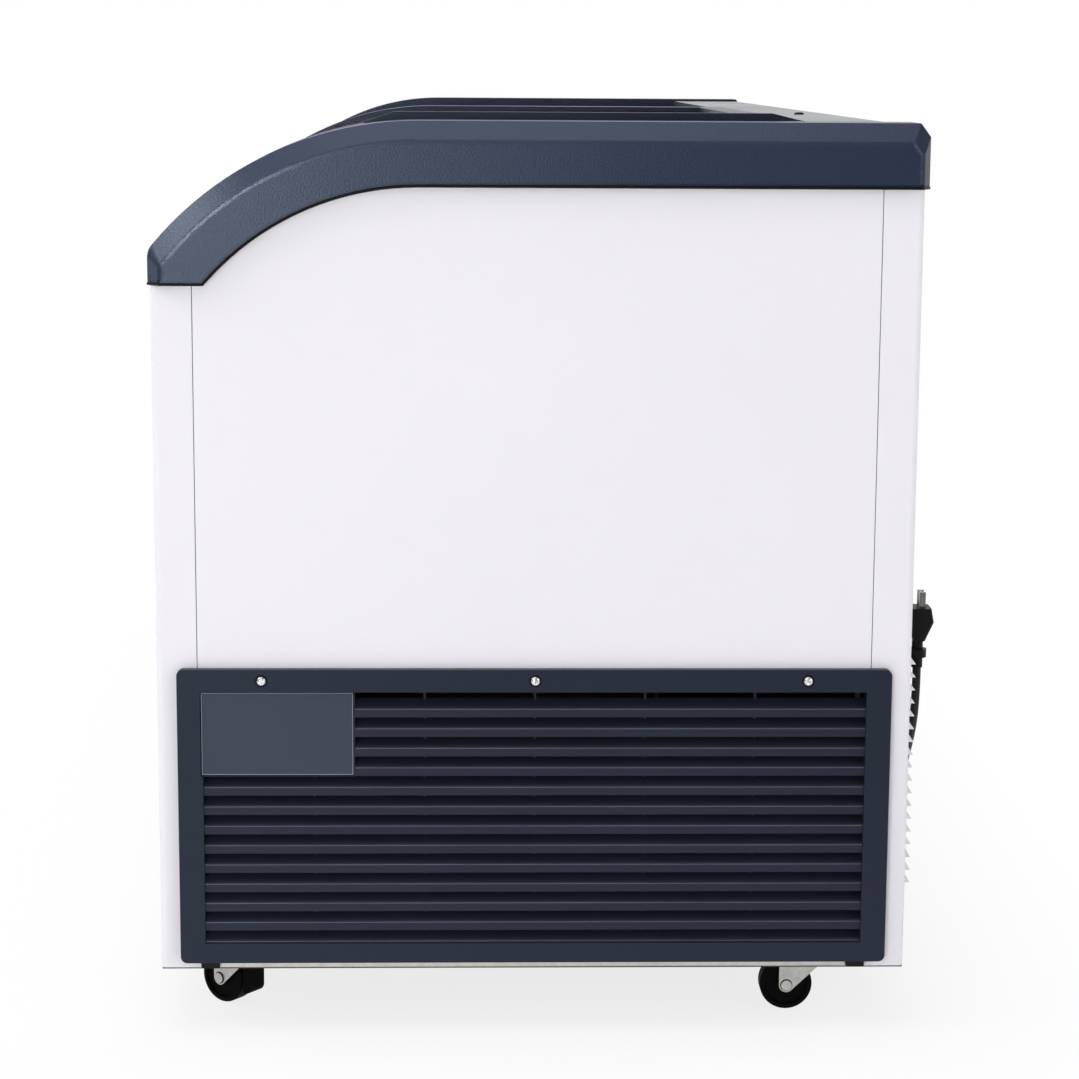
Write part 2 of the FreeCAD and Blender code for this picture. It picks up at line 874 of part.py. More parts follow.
def lid_front_runner(bottom):
    front = lid_span(bottom)[0]
    back = front - math.degrees(runner_width / wall_radius)
    x0, x1 = runner_ends()
    return arc_band(bottom, bottom + lid_thickness, front, back, x0, x1).cut(glass_slot(bottom))


def lid_rear_runner(bottom):
    rear = lid_span(bottom)[1]
    x0, x1 = runner_ends()
    bar = block(x0, x1, rear - runner_width, rear, curve_z + bottom, curve_z + bottom + lid_thickness)
    return bar.cut(glass_slot(bottom))


def lid_brush():
    """Pile strip under the upper lid's inner end; it stops just above the lower lid."""
    low = upper_bottom - brush_height
    x0 = -brush_width / 2
    return curved_band(low, upper_bottom, lower_front_angle - rail_step_angle, lid_rear_lower, x0,
                       x0 + brush_width)


def blade(z, y0, y1):
    """One grille blade: an upright lip in front and a slope that rises behind the blade above."""
    front = grille_x - blade_setback
    outline = Outline("xz", front, z)
    outline.line(front, z + blade_lip - blade_edge)
    outline.line(front - blade_edge, z + blade_lip)
    outline.line(front - blade_reach, z + blade_lip + blade_rise)
    outline.line(front - blade_reach, z + blade_lip + blade_rise - blade_wall)
    outline.line(front - blade_wall, z + blade_lip - blade_wall)
    outline.line(front - blade_wall, z)
    return outline.solid(y0, y1)


def grille_opening():
    """Lowest and highest Y and Z of the louvred field."""
    return (grille_front + grille_side, grille_rear - grille_side,
            grille_z + grille_foot, grille_z + grille_height - grille_top)


def plate_box():
    """Lowest and highest Y and Z of the blank control plate."""
    y0, _, _, z1 = grille_opening()
    return y0 - plate_lead, y0 + plate_width, z1 - plate_height, z1


def screw_places():
    z = grille_z + grille_height - grille_top / 2
    y = (grille_front + grille_rear) / 2
    return [(y - screw_pitch, z), (y, z), (y + screw_pitch, z)]


def vent_grille():
    """Moulded grille over the machine compartment: rim, blades, back ribs and a plate seat."""
    y0, y1, z0, z1 = grille_opening()
    p0, p1, q0, q1 = plate_box()
    shell = rounded_block(panel_x, grille_x, grille_front, grille_rear, grille_z,
                          grille_z + grille_height, grille_radius, V(1, 0, 0))
    inside = block(panel_x, grille_x - grille_wall, grille_front + grille_wall, grille_rear - grille_wall,
                   grille_z + grille_wall, grille_z + grille_height - grille_wall)
    frame = shell.cut([inside, block(panel_x, grille_x, y0, y1, z0, z1)])
    blades = []
    for i in range(blade_count):
        z = z1 - blade_first - i * blade_pitch
        low = p1 if z + blade_lip + blade_rise > q0 else y0
        blades.append(blade(z, low, y1))
    seat_x = grille_x - blade_setback - plate_thickness
    seat = block(seat_x - grille_wall, seat_x, p0, p1, q0, q1)
    seat_edges = [block(seat_x - grille_wall, grille_x - blade_setback, p1 - plate_gap, p1, q0, q1),
                  block(seat_x - grille_wall, grille_x - blade_setback, p0, p1, q0, q0 + plate_gap)]
    rib_x = grille_x - blade_setback - blade_reach
    ribs = []
    for i in range(rib_count):
        y = y0 + (y1 - y0) * (i + 1) / (rib_count + 1)
        top = q0 if y < p1 else z1
        ribs.append(block(rib_x - rib_depth + blade_wall, rib_x + blade_wall, y - rib_width / 2,
                          y + rib_width / 2, z0 - blade_wall, top))
    collar_x = rib_x - rib_depth + blade_wall
    collar = block(collar_x, grille_x - grille_wall, y0 - grille_wall, y1 + grille_wall,
                   z0 - grille_wall, z1 + grille_wall)
    collar = collar.cut(block(collar_x, grille_x, y0, y1, z0, z1))
    rim = joined([frame, collar]).cut(block(seat_x, grille_x, p0, p1, q0, q1))
    grille = joined([rim, seat] + seat_edges + blades + ribs)
    holes = [rod(screw_shank_radius, V(panel_x - screw_shank, y, z), V(grille_x, y, z))
             for y, z in screw_places()]
    return grille.cut(holes)


def control_plate():
    """Blank cover where a control would sit; a hairline gap shows round it."""
    p0, p1, q0, q1 = plate_box()
    x1 = grille_x - blade_setback
    return block(x1 - plate_thickness, x1, p0 + plate_gap, p1 - 2 * plate_gap, q0 + 2 * plate_gap,
                 q1 - plate_gap)


def grille_screws():
    screws = []
    for y, z in screw_places():
        head = Part.makeCylinder(screw_radius, screw_head, V(grille_x, y, z), V(1, 0, 0))
        top = [e for e in head.Edges if e.BoundBox.XMin > grille_x + screw_head / 2]
        head = head.makeFillet(screw_head / 2, top)
        shank = rod(screw_shank_radius, V(grille_x - screw_shank, y, z), V(grille_x, y, z))
        screws.append(joined([head, shank]))
    return Part.makeCompound(screws)


def grille_clip():
    """Two small black catches that hold the foot of the grille to the base pan's edge."""
    x0 = panel_x - sheet
    z0 = grille_z - clip_height + base_sheet
    clips = []
    for y in (grille_front + clip_inset, grille_rear - clip_inset):
        clips.append(rounded_block(x0, x0 + clip_depth, y - clip_width / 2, y + clip_width / 2,
                                   z0, grille_z, clip_depth / 4, V(1, 0, 0)))
    return Part.makeCompound(clips)


compressor_x = panel_x - compressor_inset_x
compressor_y = body_rear - compressor_inset_y
compressor_z = floor_top + compressor_lift
suction_x = compressor_x - compressor_radius / 2
suction_y = compressor_y - compressor_radius / 2
coil_x = panel_x - coil_inset_x
coil_y = body_rear - coil_inset_y
gland_x = coil_x - coil_outer


def compressor():
    """Welded steel pot: dished foot, weld seam at half height and a domed lid."""
    r, h, d = compressor_radius, compressor_height, compressor_dome
    mid = h / 2
    outline = Outline("xz", 0, 0)
    outline.line(r - d, 0)
    outline.arc((r - d * (1 - math.sqrt(0.5)), d * (1 - math.sqrt(0.5))), (r, d))
    outline.line(r, mid - compressor_weld)
    outline.line(r + compressor_weld, mid - compressor_weld)
    outline.line(r + compressor_weld, mid + compressor_weld)
    outline.line(r, mid + compressor_weld)
    outline.line(r, h - d)
    ball = (r * r + d * d) / (2 * d)
    half = math.asin(r / ball) / 2
    outline.arc((ball * math.sin(half), h - ball + ball * math.cos(half)), (0, h))
    face = Part.Face(outline.wire(0))
    pot = face.revolve(V(0, 0, 0), V(0, 0, 1), 360)
    return pot.translated(V(compressor_x, compressor_y, compressor_z))


def foot_places():
    reach = bracket_half - grommet_radius - grommet_margin
    return [(compressor_x + sx * reach, compressor_y + sy * reach) for sx in (-1, 1) for sy in (-1, 1)]


def compressor_bracket():
    """Two crossed bars under the pot, with a hole for a grommet at each end."""
    z0 = compressor_z - bracket_sheet
    bars = []
    for side in (-1, 1):
        y = compressor_y + side * (bracket_half - grommet_radius - grommet_margin)
        bars.append(block(compressor_x - bracket_half, compressor_x + bracket_half, y - bracket_bar / 2,
                          y + bracket_bar / 2, z0, compressor_z))
    bars.append(block(compressor_x - bracket_bar, compressor_x + bracket_bar, compressor_y - bracket_half,
                      compressor_y + bracket_half, z0, compressor_z))
    holes = [rod(grommet_hole_radius, V(x, y, z0), V(x, y, compressor_z)) for x, y in foot_places()]
    return joined(bars).cut(holes)


def compressor_grommets():
    """Rubber feet: a wide foot below the bracket, a neck through it and a small head above."""
    z0 = compressor_z - bracket_sheet
    feet = []
    for x, y in foot_places():
        foot = rod(grommet_radius, V(x, y, floor_top), V(x, y, z0))
        neck = rod(grommet_hole_radius - grommet_clearance, V(x, y, z0), V(x, y, compressor_z))
        head = rod(grommet_radius - grommet_head_step, V(x, y, compressor_z),
                   V(x, y, compressor_z + bracket_sheet))
        feet.append(joined([foot, neck, head]))
    return Part.makeCompound(feet)


def relay_cover():
    """Moulded cover over the compressor's terminals."""
    z = compressor_z + compressor_height / 2 - relay_height - compressor_weld
    y1 = compressor_y - compressor_radius + relay_depth / 2
    cover = rounded_block(compressor_x - relay_width / 2, compressor_x + relay_width / 2,
                          y1 - relay_depth, y1, z, z + relay_height, relay_round, V(0, 1, 0))
    return cover.cut(compressor())


def condenser_box():
    """Lowest and highest X, Y and Z of the condenser core."""
    x1 = panel_x - condenser_setback
    y0 = body_front + condenser_inset
    return x1 - condenser_depth, x1, y0, y0 + condenser_width, floor_top, floor_top + condenser_height


def condenser():
    """Finned core: thin upright fins threaded on rows of copper tube, on two end plates."""
    x0, x1, y0, y1, z0, z1 = condenser_box()
    pitch = (y1 - y0 - fin_sheet) / (fin_count - 1)
    core = [block(x0, x1, y0 + i * pitch, y0 + i * pitch + fin_sheet, z0, z1) for i in range(fin_count)]
    rise = (z1 - z0) / condenser_rows
    mid = (x0 + x1) / 2
    reach = condenser_tube
    for i in range(condenser_rows):
        z = z0 + rise * (i + 0.5)
        core.append(rod(condenser_tube / 2, V(mid, y0 - reach, z), V(mid, y1 + reach, z)))
    return joined(core)


def fan_centre():
    x0, _, y0, y1, z0, z1 = condenser_box()
    return V(x0 - shroud_flange, (y0 + y1) / 2, (z0 + z1) / 2)


def fan_motor():
    c = fan_centre()
    x1 = c.x - shroud_sheet - motor_gap - fan_hub_length
    can = rod(motor_radius, V(x1 - motor_length, c.y, c.z), V(x1, c.y, c.z))
    rims = [e for e in can.Edges if e.Curve.TypeId == "Part::GeomCircle"]
    can = can.makeFillet(motor_round, rims)
    bore = rod(fan_shaft_radius + fan_bore_clearance, V(x1 - motor_length / 2, c.y, c.z), V(x1, c.y, c.z))
    return can.cut(bore)


def fan_shroud():
    """Sheet between condenser and fan with a round throat, and straps that hold the motor."""
    x0, _, y0, y1, z0, z1 = condenser_box()
    c = fan_centre()
    plate = block(x0 - shroud_flange, x0 - shroud_flange + shroud_sheet, y0, y1, z0, z1)
    throat = rod(fan_radius + shroud_clearance, V(x0 - shroud_flange, c.y, c.z), V(x0, c.y, c.z))
    flanges = [block(x0 - shroud_flange, x0, y0, y1, z1 - shroud_sheet, z1),
               block(x0 - shroud_flange, x0, y0, y0 + shroud_sheet, z0, z1),
               block(x0 - shroud_flange, x0, y1 - shroud_sheet, y1, z0, z1)]
    motor_x = c.x - shroud_sheet - motor_gap - fan_hub_length - motor_length
    straps = []
    for side in (-1, 1):
        y = c.y + side * (fan_radius + shroud_clearance + motor_strap)
        straps.append(block(motor_x - shroud_sheet, x0 - shroud_flange, y - shroud_sheet / 2,
                            y + shroud_sheet / 2, c.z - motor_strap / 2, c.z + motor_strap / 2))
    reach = fan_radius + shroud_clearance + motor_strap + shroud_sheet / 2
    straps.append(block(motor_x - shroud_sheet, motor_x, c.y - reach, c.y + reach, c.z - motor_strap / 2,
                        c.z + motor_strap / 2))
    return joined([plate.cut(throat)] + flanges + straps)


def fan_blade():
    """Pressed fan: pitched blades on a hub, with the shaft that runs in the motor."""
    c = fan_centre()
    hub_x = c.x - shroud_sheet - motor_gap / 2
    hub = rod(fan_hub_radius, V(hub_x - fan_hub_length, c.y, c.z), V(hub_x, c.y, c.z))
    disc = rod(fan_radius, V(hub_x - 2 * fan_hub_length, c.y, c.z), V(hub_x + fan_hub_length, c.y, c.z))
    centre = V(hub_x - fan_hub_length / 2, c.y, c.z)
    blades = []
    for i in range(fan_blades):
        plate = block(centre.x - fan_blade_sheet / 2, centre.x + fan_blade_sheet / 2,
                      c.y - fan_blade_chord / 2, c.y + fan_blade_chord / 2,
                      c.z + fan_hub_radius / 2, c.z + fan_radius + fan_blade_chord)
        plate.rotate(centre, V(0, 0, 1), fan_blade_pitch)
        plate.rotate(centre, V(1, 0, 0), 360.0 / fan_blades * i)
        blades.append(plate.common(disc))
    motor_face = c.x - shroud_sheet - motor_gap - fan_hub_length
    shaft_x = motor_face - motor_length / 2 + shaft_end_gap
    shaft = rod(fan_shaft_radius, V(shaft_x, c.y, c.z), V(hub_x, c.y, c.z))
    return joined([hub, shaft] + blades)


def suction_pipe():
    """Copper pipe from the top of the pot straight up into the foam."""
    top = V(suction_x, suction_y, step_top - step_foam / 2)
    z = compressor_z + compressor_height - compressor_dome
    pipe = rod(pipe_radius, V(suction_x, suction_y, z), top)
    return pipe.cut(compressor())


def discharge_pipe():
    """Copper pipe from the side of the pot to the top row of the condenser."""
    x0, x1, _, y1, z0, z1 = condenser_box()
    row = z1 - (z1 - z0) / condenser_rows / 2
    y = y1 + condenser_tube
    mid = (x0 + x1) / 2
    turn_y = y + pipe_lead
    points = [V(mid, y, row), V(mid, turn_y, row), V(compressor_x, turn_y, row),
              V(compressor_x, compressor_y, row)]
    return bent_pipe(points, pipe_radius, pipe_bend).cut(compressor())


def filter_drier():
    """Copper drier that stands between the condenser's lowest row and the compartment."""
    x0, x1, y0, _, z0, z1 = condenser_box()
    row = z0 + (z1 - z0) / condenser_rows / 2
    mid = (x0 + x1) / 2
    y = y0 - condenser_tube
    outline = Outline("xz", 0, 0)
    outline.line(pipe_radius, 0)
    outline.line(drier_radius, drier_radius)
    outline.line(drier_radius, drier_length - drier_radius)
    outline.line(pipe_radius, drier_length)
    outline.line(0, drier_length)
    body = Part.Face(outline.wire(0)).revolve(V(0, 0, 0), V(0, 0, 1), 360)
    body = body.translated(V(mid, y - drier_radius / 2, row - drier_radius - pipe_radius))
    return body.cut(condenser())


def caster_places():
    """Name, swivel place and rest turn of each caster; the braked pair is at the front."""
    front_x, front_y = panel_x - front_caster_inset_x, body_front + front_caster_inset_y
    rear_x, rear_y = panel_x - caster_inset_x, body_rear - caster_inset_y
    return [("front_near", front_x, front_y, front_caster_turn),
            ("front_far", -front_x, front_y, front_caster_turn),
            ("rear_near", rear_x, rear_y, 0.0), ("rear_far", -rear_x, rear_y, 0.0)]


plate_under = ground_clearance - caster_plate
crown_under = 2 * wheel_radius + crown_clearance
crown_top = crown_under + fork_sheet
fork_inner = wheel_width / 2 + fork_gap
fork_outer = fork_inner + fork_sheet
fork_front = -caster_trail - fork_boss_radius


def caster_plates():
    """Top plates bolted under the base, each with its race and kingpin."""
    plates = []
    for _, x, y, _ in caster_places():
        h = caster_plate_half
        plate = rounded_block(-h, h, -h, h, plate_under, ground_clearance, caster_plate_round, V(0, 0, 1))
        race = rod(race_radius, V(0, 0, crown_top + race_gap), V(0, 0, plate_under))
        head_top = crown_under - race_gap
        pin = rod(kingpin_radius, V(0, 0, head_top - kingpin_head), V(0, 0, plate_under))
        head = rod(kingpin_head_radius, V(0, 0, head_top - kingpin_head), V(0, 0, head_top))
        plates.append(joined([plate, race, pin, head]).translated(V(x, y, 0)))
    return Part.makeCompound(plates)


def fork_leg():
    """Side plate: upright behind the axle, slanting forward to the crown, round at the foot."""
    y, z, r = -caster_trail, wheel_radius, fork_boss_radius
    far = (fork_leg_reach, crown_under)
    reach = math.hypot(far[0] - y, far[1] - z)
    lean = math.atan2(far[1] - z, far[0] - y) - math.acos(r / reach)
    touch = (y + r * math.cos(lean), z + r * math.sin(lean))
    low = (math.pi + lean + 2 * math.pi) / 2
    outline = Outline("yz", y - r, z)
    outline.arc((y + r * math.cos(low), z + r * math.sin(low)), touch)
    outline.line(*far)
    outline.line(far[0], crown_top)
    outline.line(y - r, crown_top)
    return outline


def caster_fork(x, y, turn, braked):
    """Bent steel fork with its riveted axle; the braked one has a pin for the pedal."""
    leg = fork_leg()
    legs = [leg.solid(fork_inner, fork_outer), leg.solid(-fork_outer, -fork_inner)]
    crown = block(-fork_outer, fork_outer, fork_front, fork_leg_reach, crown_under, crown_top)
    disc = rod(fork_crown_radius, V(0, 0, crown_under), V(0, 0, crown_top))
    axle_y, axle_z = -caster_trail, wheel_radius
    axle = rod(axle_radius, V(-fork_outer, axle_y, axle_z), V(fork_outer, axle_y, axle_z))
    rivet = fork_outer + rivet_head
    rivets = [rod(rivet_radius, V(fork_outer, axle_y, axle_z), V(rivet, axle_y, axle_z)),
              rod(rivet_radius, V(-rivet, axle_y, axle_z), V(-fork_outer, axle_y, axle_z))]
    pieces = legs + [crown, disc, axle] + rivets
    if braked:
        py, pz = axle_y + pedal_pivot_out, axle_z + pedal_pivot_up
        pieces.append(rod(pedal_pin_radius, V(-fork_outer, py, pz), V(fork_outer, py, pz)))
    hole = rod(kingpin_radius + running_clearance, V(0, 0, crown_under), V(0, 0, crown_top))
    return placed(joined(pieces).cut(hole), x, y, turn)


def caster_wheel(x, y, turn):
    """Moulded wheel with a round-shouldered tread and a dished web."""
    axle_y, axle_z = -caster_trail, wheel_radius
    half = wheel_width / 2
    wheel = rod(wheel_radius, V(-half, axle_y, axle_z), V(half, axle_y, axle_z))
    rims = [e for e in wheel.Edges if e.Curve.TypeId == "Part::GeomCircle"]
    wheel = wheel.makeFillet(wheel_round, rims)
    cuts = [rod(axle_radius + running_clearance, V(-half, axle_y, axle_z), V(half, axle_y, axle_z))]
    for side in (-1, 1):
        out = V(side * half, axle_y, axle_z)
        deep = V(side * (half - wheel_recess), axle_y, axle_z)
        dish = rod(wheel_radius - wheel_rim, deep, out)
        cuts.append(dish.cut(rod(wheel_hub_radius, deep, out)))
    return placed(wheel.cut(cuts), x, y, turn)


def brake_pedal(x, y, turn):
    """Lever hung between the fork's legs: lifting its toe presses the shoe down on the tread."""
    py, pz = -caster_trail + pedal_pivot_out, wheel_radius + pedal_pivot_up
    front, top, low = py + pedal_reach, pz + pedal_top, pz - pedal_drop
    corner = pedal_round * (1 - math.sqrt(0.5))
    outline = Outline("yz", py, low)
    outline.line(front - pedal_round, low)
    outline.arc((front - corner, low + corner), (front, low + pedal_round))
    outline.line(front, top)
    outline.line(py - pedal_boss, top)
    outline.line(py - pedal_shoe, pz + pedal_shoe_rise)
    outline.line(py - pedal_boss, pz - pedal_boss)
    outline.line(py, pz - 2 * pedal_boss)
    lever = outline.solid(-pedal_width / 2, pedal_width / 2)
    bore = rod(pedal_pin_radius + running_clearance, V(-pedal_width, py, pz), V(pedal_width, py, pz))
    return placed(lever.cut(bore), x, y, turn)


def placed(shape, x, y, turn):
    shape = shape.copy()
    shape.rotate(V(0, 0, 0), V(0, 0, 1), turn)
    shape.translate(V(x, y, 0))
    return shape


plug_x = panel_x - plug_inset_x
plug_y = body_rear + plug_gap + plug_half_depth
neck_top = plug_neck_bottom + plug_neck


def plug():
    """Moulded plug that stands pins up: a shouldered body on a round neck."""
    neck = rod(plug_neck_radius, V(plug_x, plug_y, plug_neck_bottom), V(plug_x, plug_y, neck_top))
    outline = Outline("yz", plug_y - plug_neck_radius, neck_top - plug_shoulder)
    outline.line(plug_y + plug_neck_radius, neck_top - plug_shoulder)
    outline.line(plug_y + plug_half_depth, neck_top + plug_swell)
    outline.line(plug_y + plug_half_depth - plug_taper, neck_top + plug_body)
    outline.line(plug_y - plug_half_depth + plug_taper, neck_top + plug_body)
    outline.line(plug_y - plug_half_depth, neck_top + plug_swell)
    body = outline.solid(plug_x - plug_half_width, plug_x + plug_half_width)
    upright = [e for e in body.Edges if abs(e.tangentAt(e.FirstParameter).x) < 0.01
               and abs(e.tangentAt(e.FirstParameter).z) > 0.5]
    body = body.makeFillet(plug_round, upright)
    return joined([neck, body])


def plug_blades():
    """Two flat blades and a round earth pin that stand up from the plug's face."""
    z0 = neck_top + plug_body
    z1 = z0 + blade_pin_length
    blade_y = plug_y + blade_pin_forward
    earth_y = plug_y - earth_pin_back
    pins = []
    for x in (plug_x - blade_pin_pitch / 2, plug_x + blade_pin_pitch / 2):
        pins.append(block(x - blade_pin_sheet / 2, x + blade_pin_sheet / 2, blade_y - blade_pin_width / 2,
                          blade_y + blade_pin_width / 2, z0, z1))
    pins.append(rod(earth_pin_radius, V(plug_x, earth_y, z0), V(plug_x, earth_y, z1)))
    return Part.makeCompound(pins)


def cord_clip():
    """Snap clip on the rear panel that holds the plug by its neck."""
    z0 = plug_neck_bottom + clip_rise
    z1 = z0 + clip_ring_height
    hole = plug_neck_radius + clip_clearance
    ring = rod(hole + clip_ring, V(plug_x, plug_y, z0), V(plug_x, plug_y, z1))
    stalk = block(plug_x - clip_stalk / 2, plug_x + clip_stalk / 2, body_rear, plug_y, z0, z1)
    clip = joined([ring, stalk]).cut(rod(hole, V(plug_x, plug_y, z0), V(plug_x, plug_y, z1)))
    return clip.cut(rear_panel())


gland_y = body_rear + gland_flange + gland_radius + gland_neck
gland_end = gland_height - gland_drop
cord_floor = tie_sheet + tie_clearance + cord_radius + floor_gap


def gland():
    """Elbow strain relief: a flange on the panel, a round elbow and a tapered nozzle that points down."""
    stem = rod(gland_stem_radius, V(gland_x, body_rear - gland_stem, gland_height),
               V(gland_x, gland_y, gland_height))
    flange = rod(gland_flange_radius, V(gland_x, body_rear, gland_height),
                 V(gland_x, body_rear + gland_flange, gland_height))
    neck = rod(gland_radius, V(gland_x, body_rear, gland_height), V(gland_x, gland_y, gland_height))
    ball = Part.makeSphere(gland_radius, V(gland_x, gland_y, gland_height))
    nozzle = Part.makeCone(cord_radius + gland_wall, gland_radius, gland_drop,
                           V(gland_x, gland_y, gland_end), V(0, 0, 1))
    return joined([stem, flange, neck, ball, nozzle])


def coil_path():
    """Half turns that wind in on the floor, climb one layer in the last, and wind out again on top."""
    low = cord_floor
    high = low + coil_pitch
    x, y = coil_x - coil_outer, coil_y
    edges = [Part.LineSegment(V(x, y + 2 * cord_radius, low), V(x, y, low)).toShape()]
    radii = [coil_outer - i * coil_pitch / 2 for i in range(coil_half_turns + 1)]
    radii += radii[-2::-1]
    z = low
    for i, radius in enumerate(radii):
        side = 1 if i % 2 == 0 else -1
        rise = high - low if i == coil_half_turns else 0
        end = V(x + side * 2 * radius, y, z + rise)
        start = V(x, y, z)
        middle = (start + end) * 0.5
        bulge = (end - start).Length / 2
        edges.append(Part.Arc(start, middle + V(0, -side * bulge, 0), end).toShape())
        x, z = end.x, end.z
    edges.append(Part.LineSegment(V(x, y, z), V(x, y + 2 * cord_radius, z)).toShape())
    return Part.Wire(edges), V(x, y + 2 * cord_radius, z)


def least_gap(wire, radius, away):
    """Least distance between turns of a tube, measured on points along its middle line."""
    points = wire.discretize(Distance=radius)
    steps = int(away / radius)
    least = min((a - b).Length for i, a in enumerate(points) for b in points[i + steps:])
    return least - 2 * radius


def gland_route():
    """Points of the lead from the strain relief down to the floor and in to the coil."""
    x = gland_x
    return [V(x, gland_y, gland_end), V(x, gland_y, 63), V(x, gland_y - 7, 31), V(x, gland_y - 29, 11),
            V(x, gland_y - 56, cord_floor), V(x, coil_y + 2 * cord_radius, cord_floor)]


def plug_route(coil_end):
    """Points of the lead: down from the plug, a lean along the panel, a quarter turn in to the coil."""
    y, z = plug_y, plug_neck_bottom
    points = [V(plug_x, y, z), V(plug_x, y, z - 28), V(plug_x - 12, y - 0.5, z - 62),
              V(plug_x - 36, y - 1.5, z - 92), V(plug_x - 64, y - 2.5, z - 122),
              V(plug_x - 88, y - 3, z - 156), V(plug_x - 106, y - 3.5, z - 192),
              V(plug_x - 115, y - 4, z - 228)]
    y -= 4
    step = math.radians(90.0 / 4)
    radius = (y - coil_end.y) / (1 + math.tan(step / 2))
    for i in range(4):
        turn = step * (i + 0.5)
        reach = radius / math.cos(step / 2)
        points.append(V(coil_end.x, y - radius + reach * math.cos(turn),
                        coil_end.z + radius - reach * math.sin(turn)))
    return points + [coil_end]


def cord_stretch(points, name):
    wire, radii = rounded_wire(points, cord_arc_share)
    tube = tube_along(wire, cord_radius)
    section = math.pi * cord_radius ** 2
    print(name, "radii", [round(r) for r in radii], "length", round(wire.Length),
          "volume ratio", round(tube.Volume / (section * wire.Length), 4))
    return tube


def cord_coil():
    wire, _ = coil_path()
    print("coil length", round(wire.Length), "least gap", round(least_gap(wire, cord_radius, coil_skip), 2))
    return tube_along(wire, cord_radius)


def cord_tie():
    """Flat strap round the bundle of turns at the front of the coil."""
    inner = coil_outer - (coil_half_turns - 1) * coil_pitch / 2
    across = (tie_width + coil_pitch) / 2
    y0 = coil_y - coil_outer - cord_radius - tie_clearance
    y1 = coil_y - math.sqrt(inner ** 2 - across ** 2) + cord_radius + tie_clearance
    z0 = cord_floor - cord_radius - tie_clearance
    z1 = cord_floor + coil_pitch + cord_radius + tie_clearance
    x = coil_x + coil_pitch / 2
    half = tie_width / 2
    outer = rounded_block(x - half, x + half, y0 - tie_sheet, y1 + tie_sheet, z0 - tie_sheet,
                          z1 + tie_sheet, tie_round, V(1, 0, 0))
    return outer.cut(block(x - half, x + half, y0, y1, z0, z1))


def all_parts():
    near_cap = end_cap()
    _, coil_end = coil_path()
    parts = {
        "base_pan": base_pan(), "front_panel": front_panel(), "rear_panel": rear_panel(),
        "end_panel_vent": end_panel(1, grille_opening()[3] + grille_wall + seam),
        "end_panel_plain": end_panel(-1, floor_top),
        "insulation": insulation(), "liner": liner(), "compartment_wall": compartment_wall(),
        "evaporator_tube": evaporator(),
        "end_cap_near": near_cap, "end_cap_far": other_end(near_cap),
        "front_rail": front_rail(), "rear_rail": rear_rail(),
        "vent_grille": vent_grille(), "control_plate": control_plate(),
        "grille_screws": grille_screws(), "grille_clip": grille_clip(),
        "compressor": compressor(), "compressor_bracket": compressor_bracket(),
        "compressor_grommets": compressor_grommets(), "relay_cover": relay_cover(),
        "condenser": condenser(), "fan_shroud": fan_shroud(), "fan_motor": fan_motor(),
        "fan_blade": fan_blade(), "suction_pipe": suction_pipe(), "discharge_pipe": discharge_pipe(),
        "filter_drier": filter_drier(),
        "caster_plates": caster_plates(),
        "plug": plug(), "plug_blades": plug_blades(), "cord_clip": cord_clip(), "cord_gland": gland(),
        "cord_gland_stretch": cord_stretch(gland_route(), "gland stretch"),
        "cord_plug_stretch": cord_stretch(plug_route(coil_end), "plug stretch"),
        "cord_coil": cord_coil(), "cord_tie": cord_tie(),
    }
    for lid, bottom, turned in (("upper", upper_bottom, False), ("lower", lower_bottom, True)):
        pieces = {"glass": lid_pane(bottom), "outer_end": lid_outer_end(bottom),
                  "inner_end": lid_inner_end(bottom), "front_runner": lid_front_runner(bottom),
                  "rear_runner": lid_rear_runner(bottom)}
        for piece, shape in pieces.items():
            parts[f"{lid}_lid_{piece}"] = other_end(shape) if turned else shape
    parts["upper_lid_brush"] = lid_brush()
    for name, x, y, turn in caster_places():
        braked = name.startswith("front")
        parts[f"caster_fork_{name}"] = caster_fork(x, y, turn, braked)
        parts[f"caster_wheel_{name}"] = caster_wheel(x, y, turn)
        if braked:
            parts[f"brake_pedal_{name}"] = brake_pedal(x, y, turn)
    return parts


for node, shape in all_parts().items():
    if not shape.isValid() or shape.Volume <= 0:
        print("check", node, "valid", shape.isValid(), "volume", round(shape.Volume))
    shape.exportStep(f"parts/{node}.step")
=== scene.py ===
# %% [markdown]
# A chest freezer for a shop: white steel body, moulded navy end caps, two bent-glass lids that slide past
# each other, and a grille over the machine at one end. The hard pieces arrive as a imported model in
# metres, so this lesson only adds finishes, the mains lead, small hardware, light and a camera.

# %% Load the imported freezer
import json
import math

import bmesh
import bpy
from mathutils import Matrix, Vector


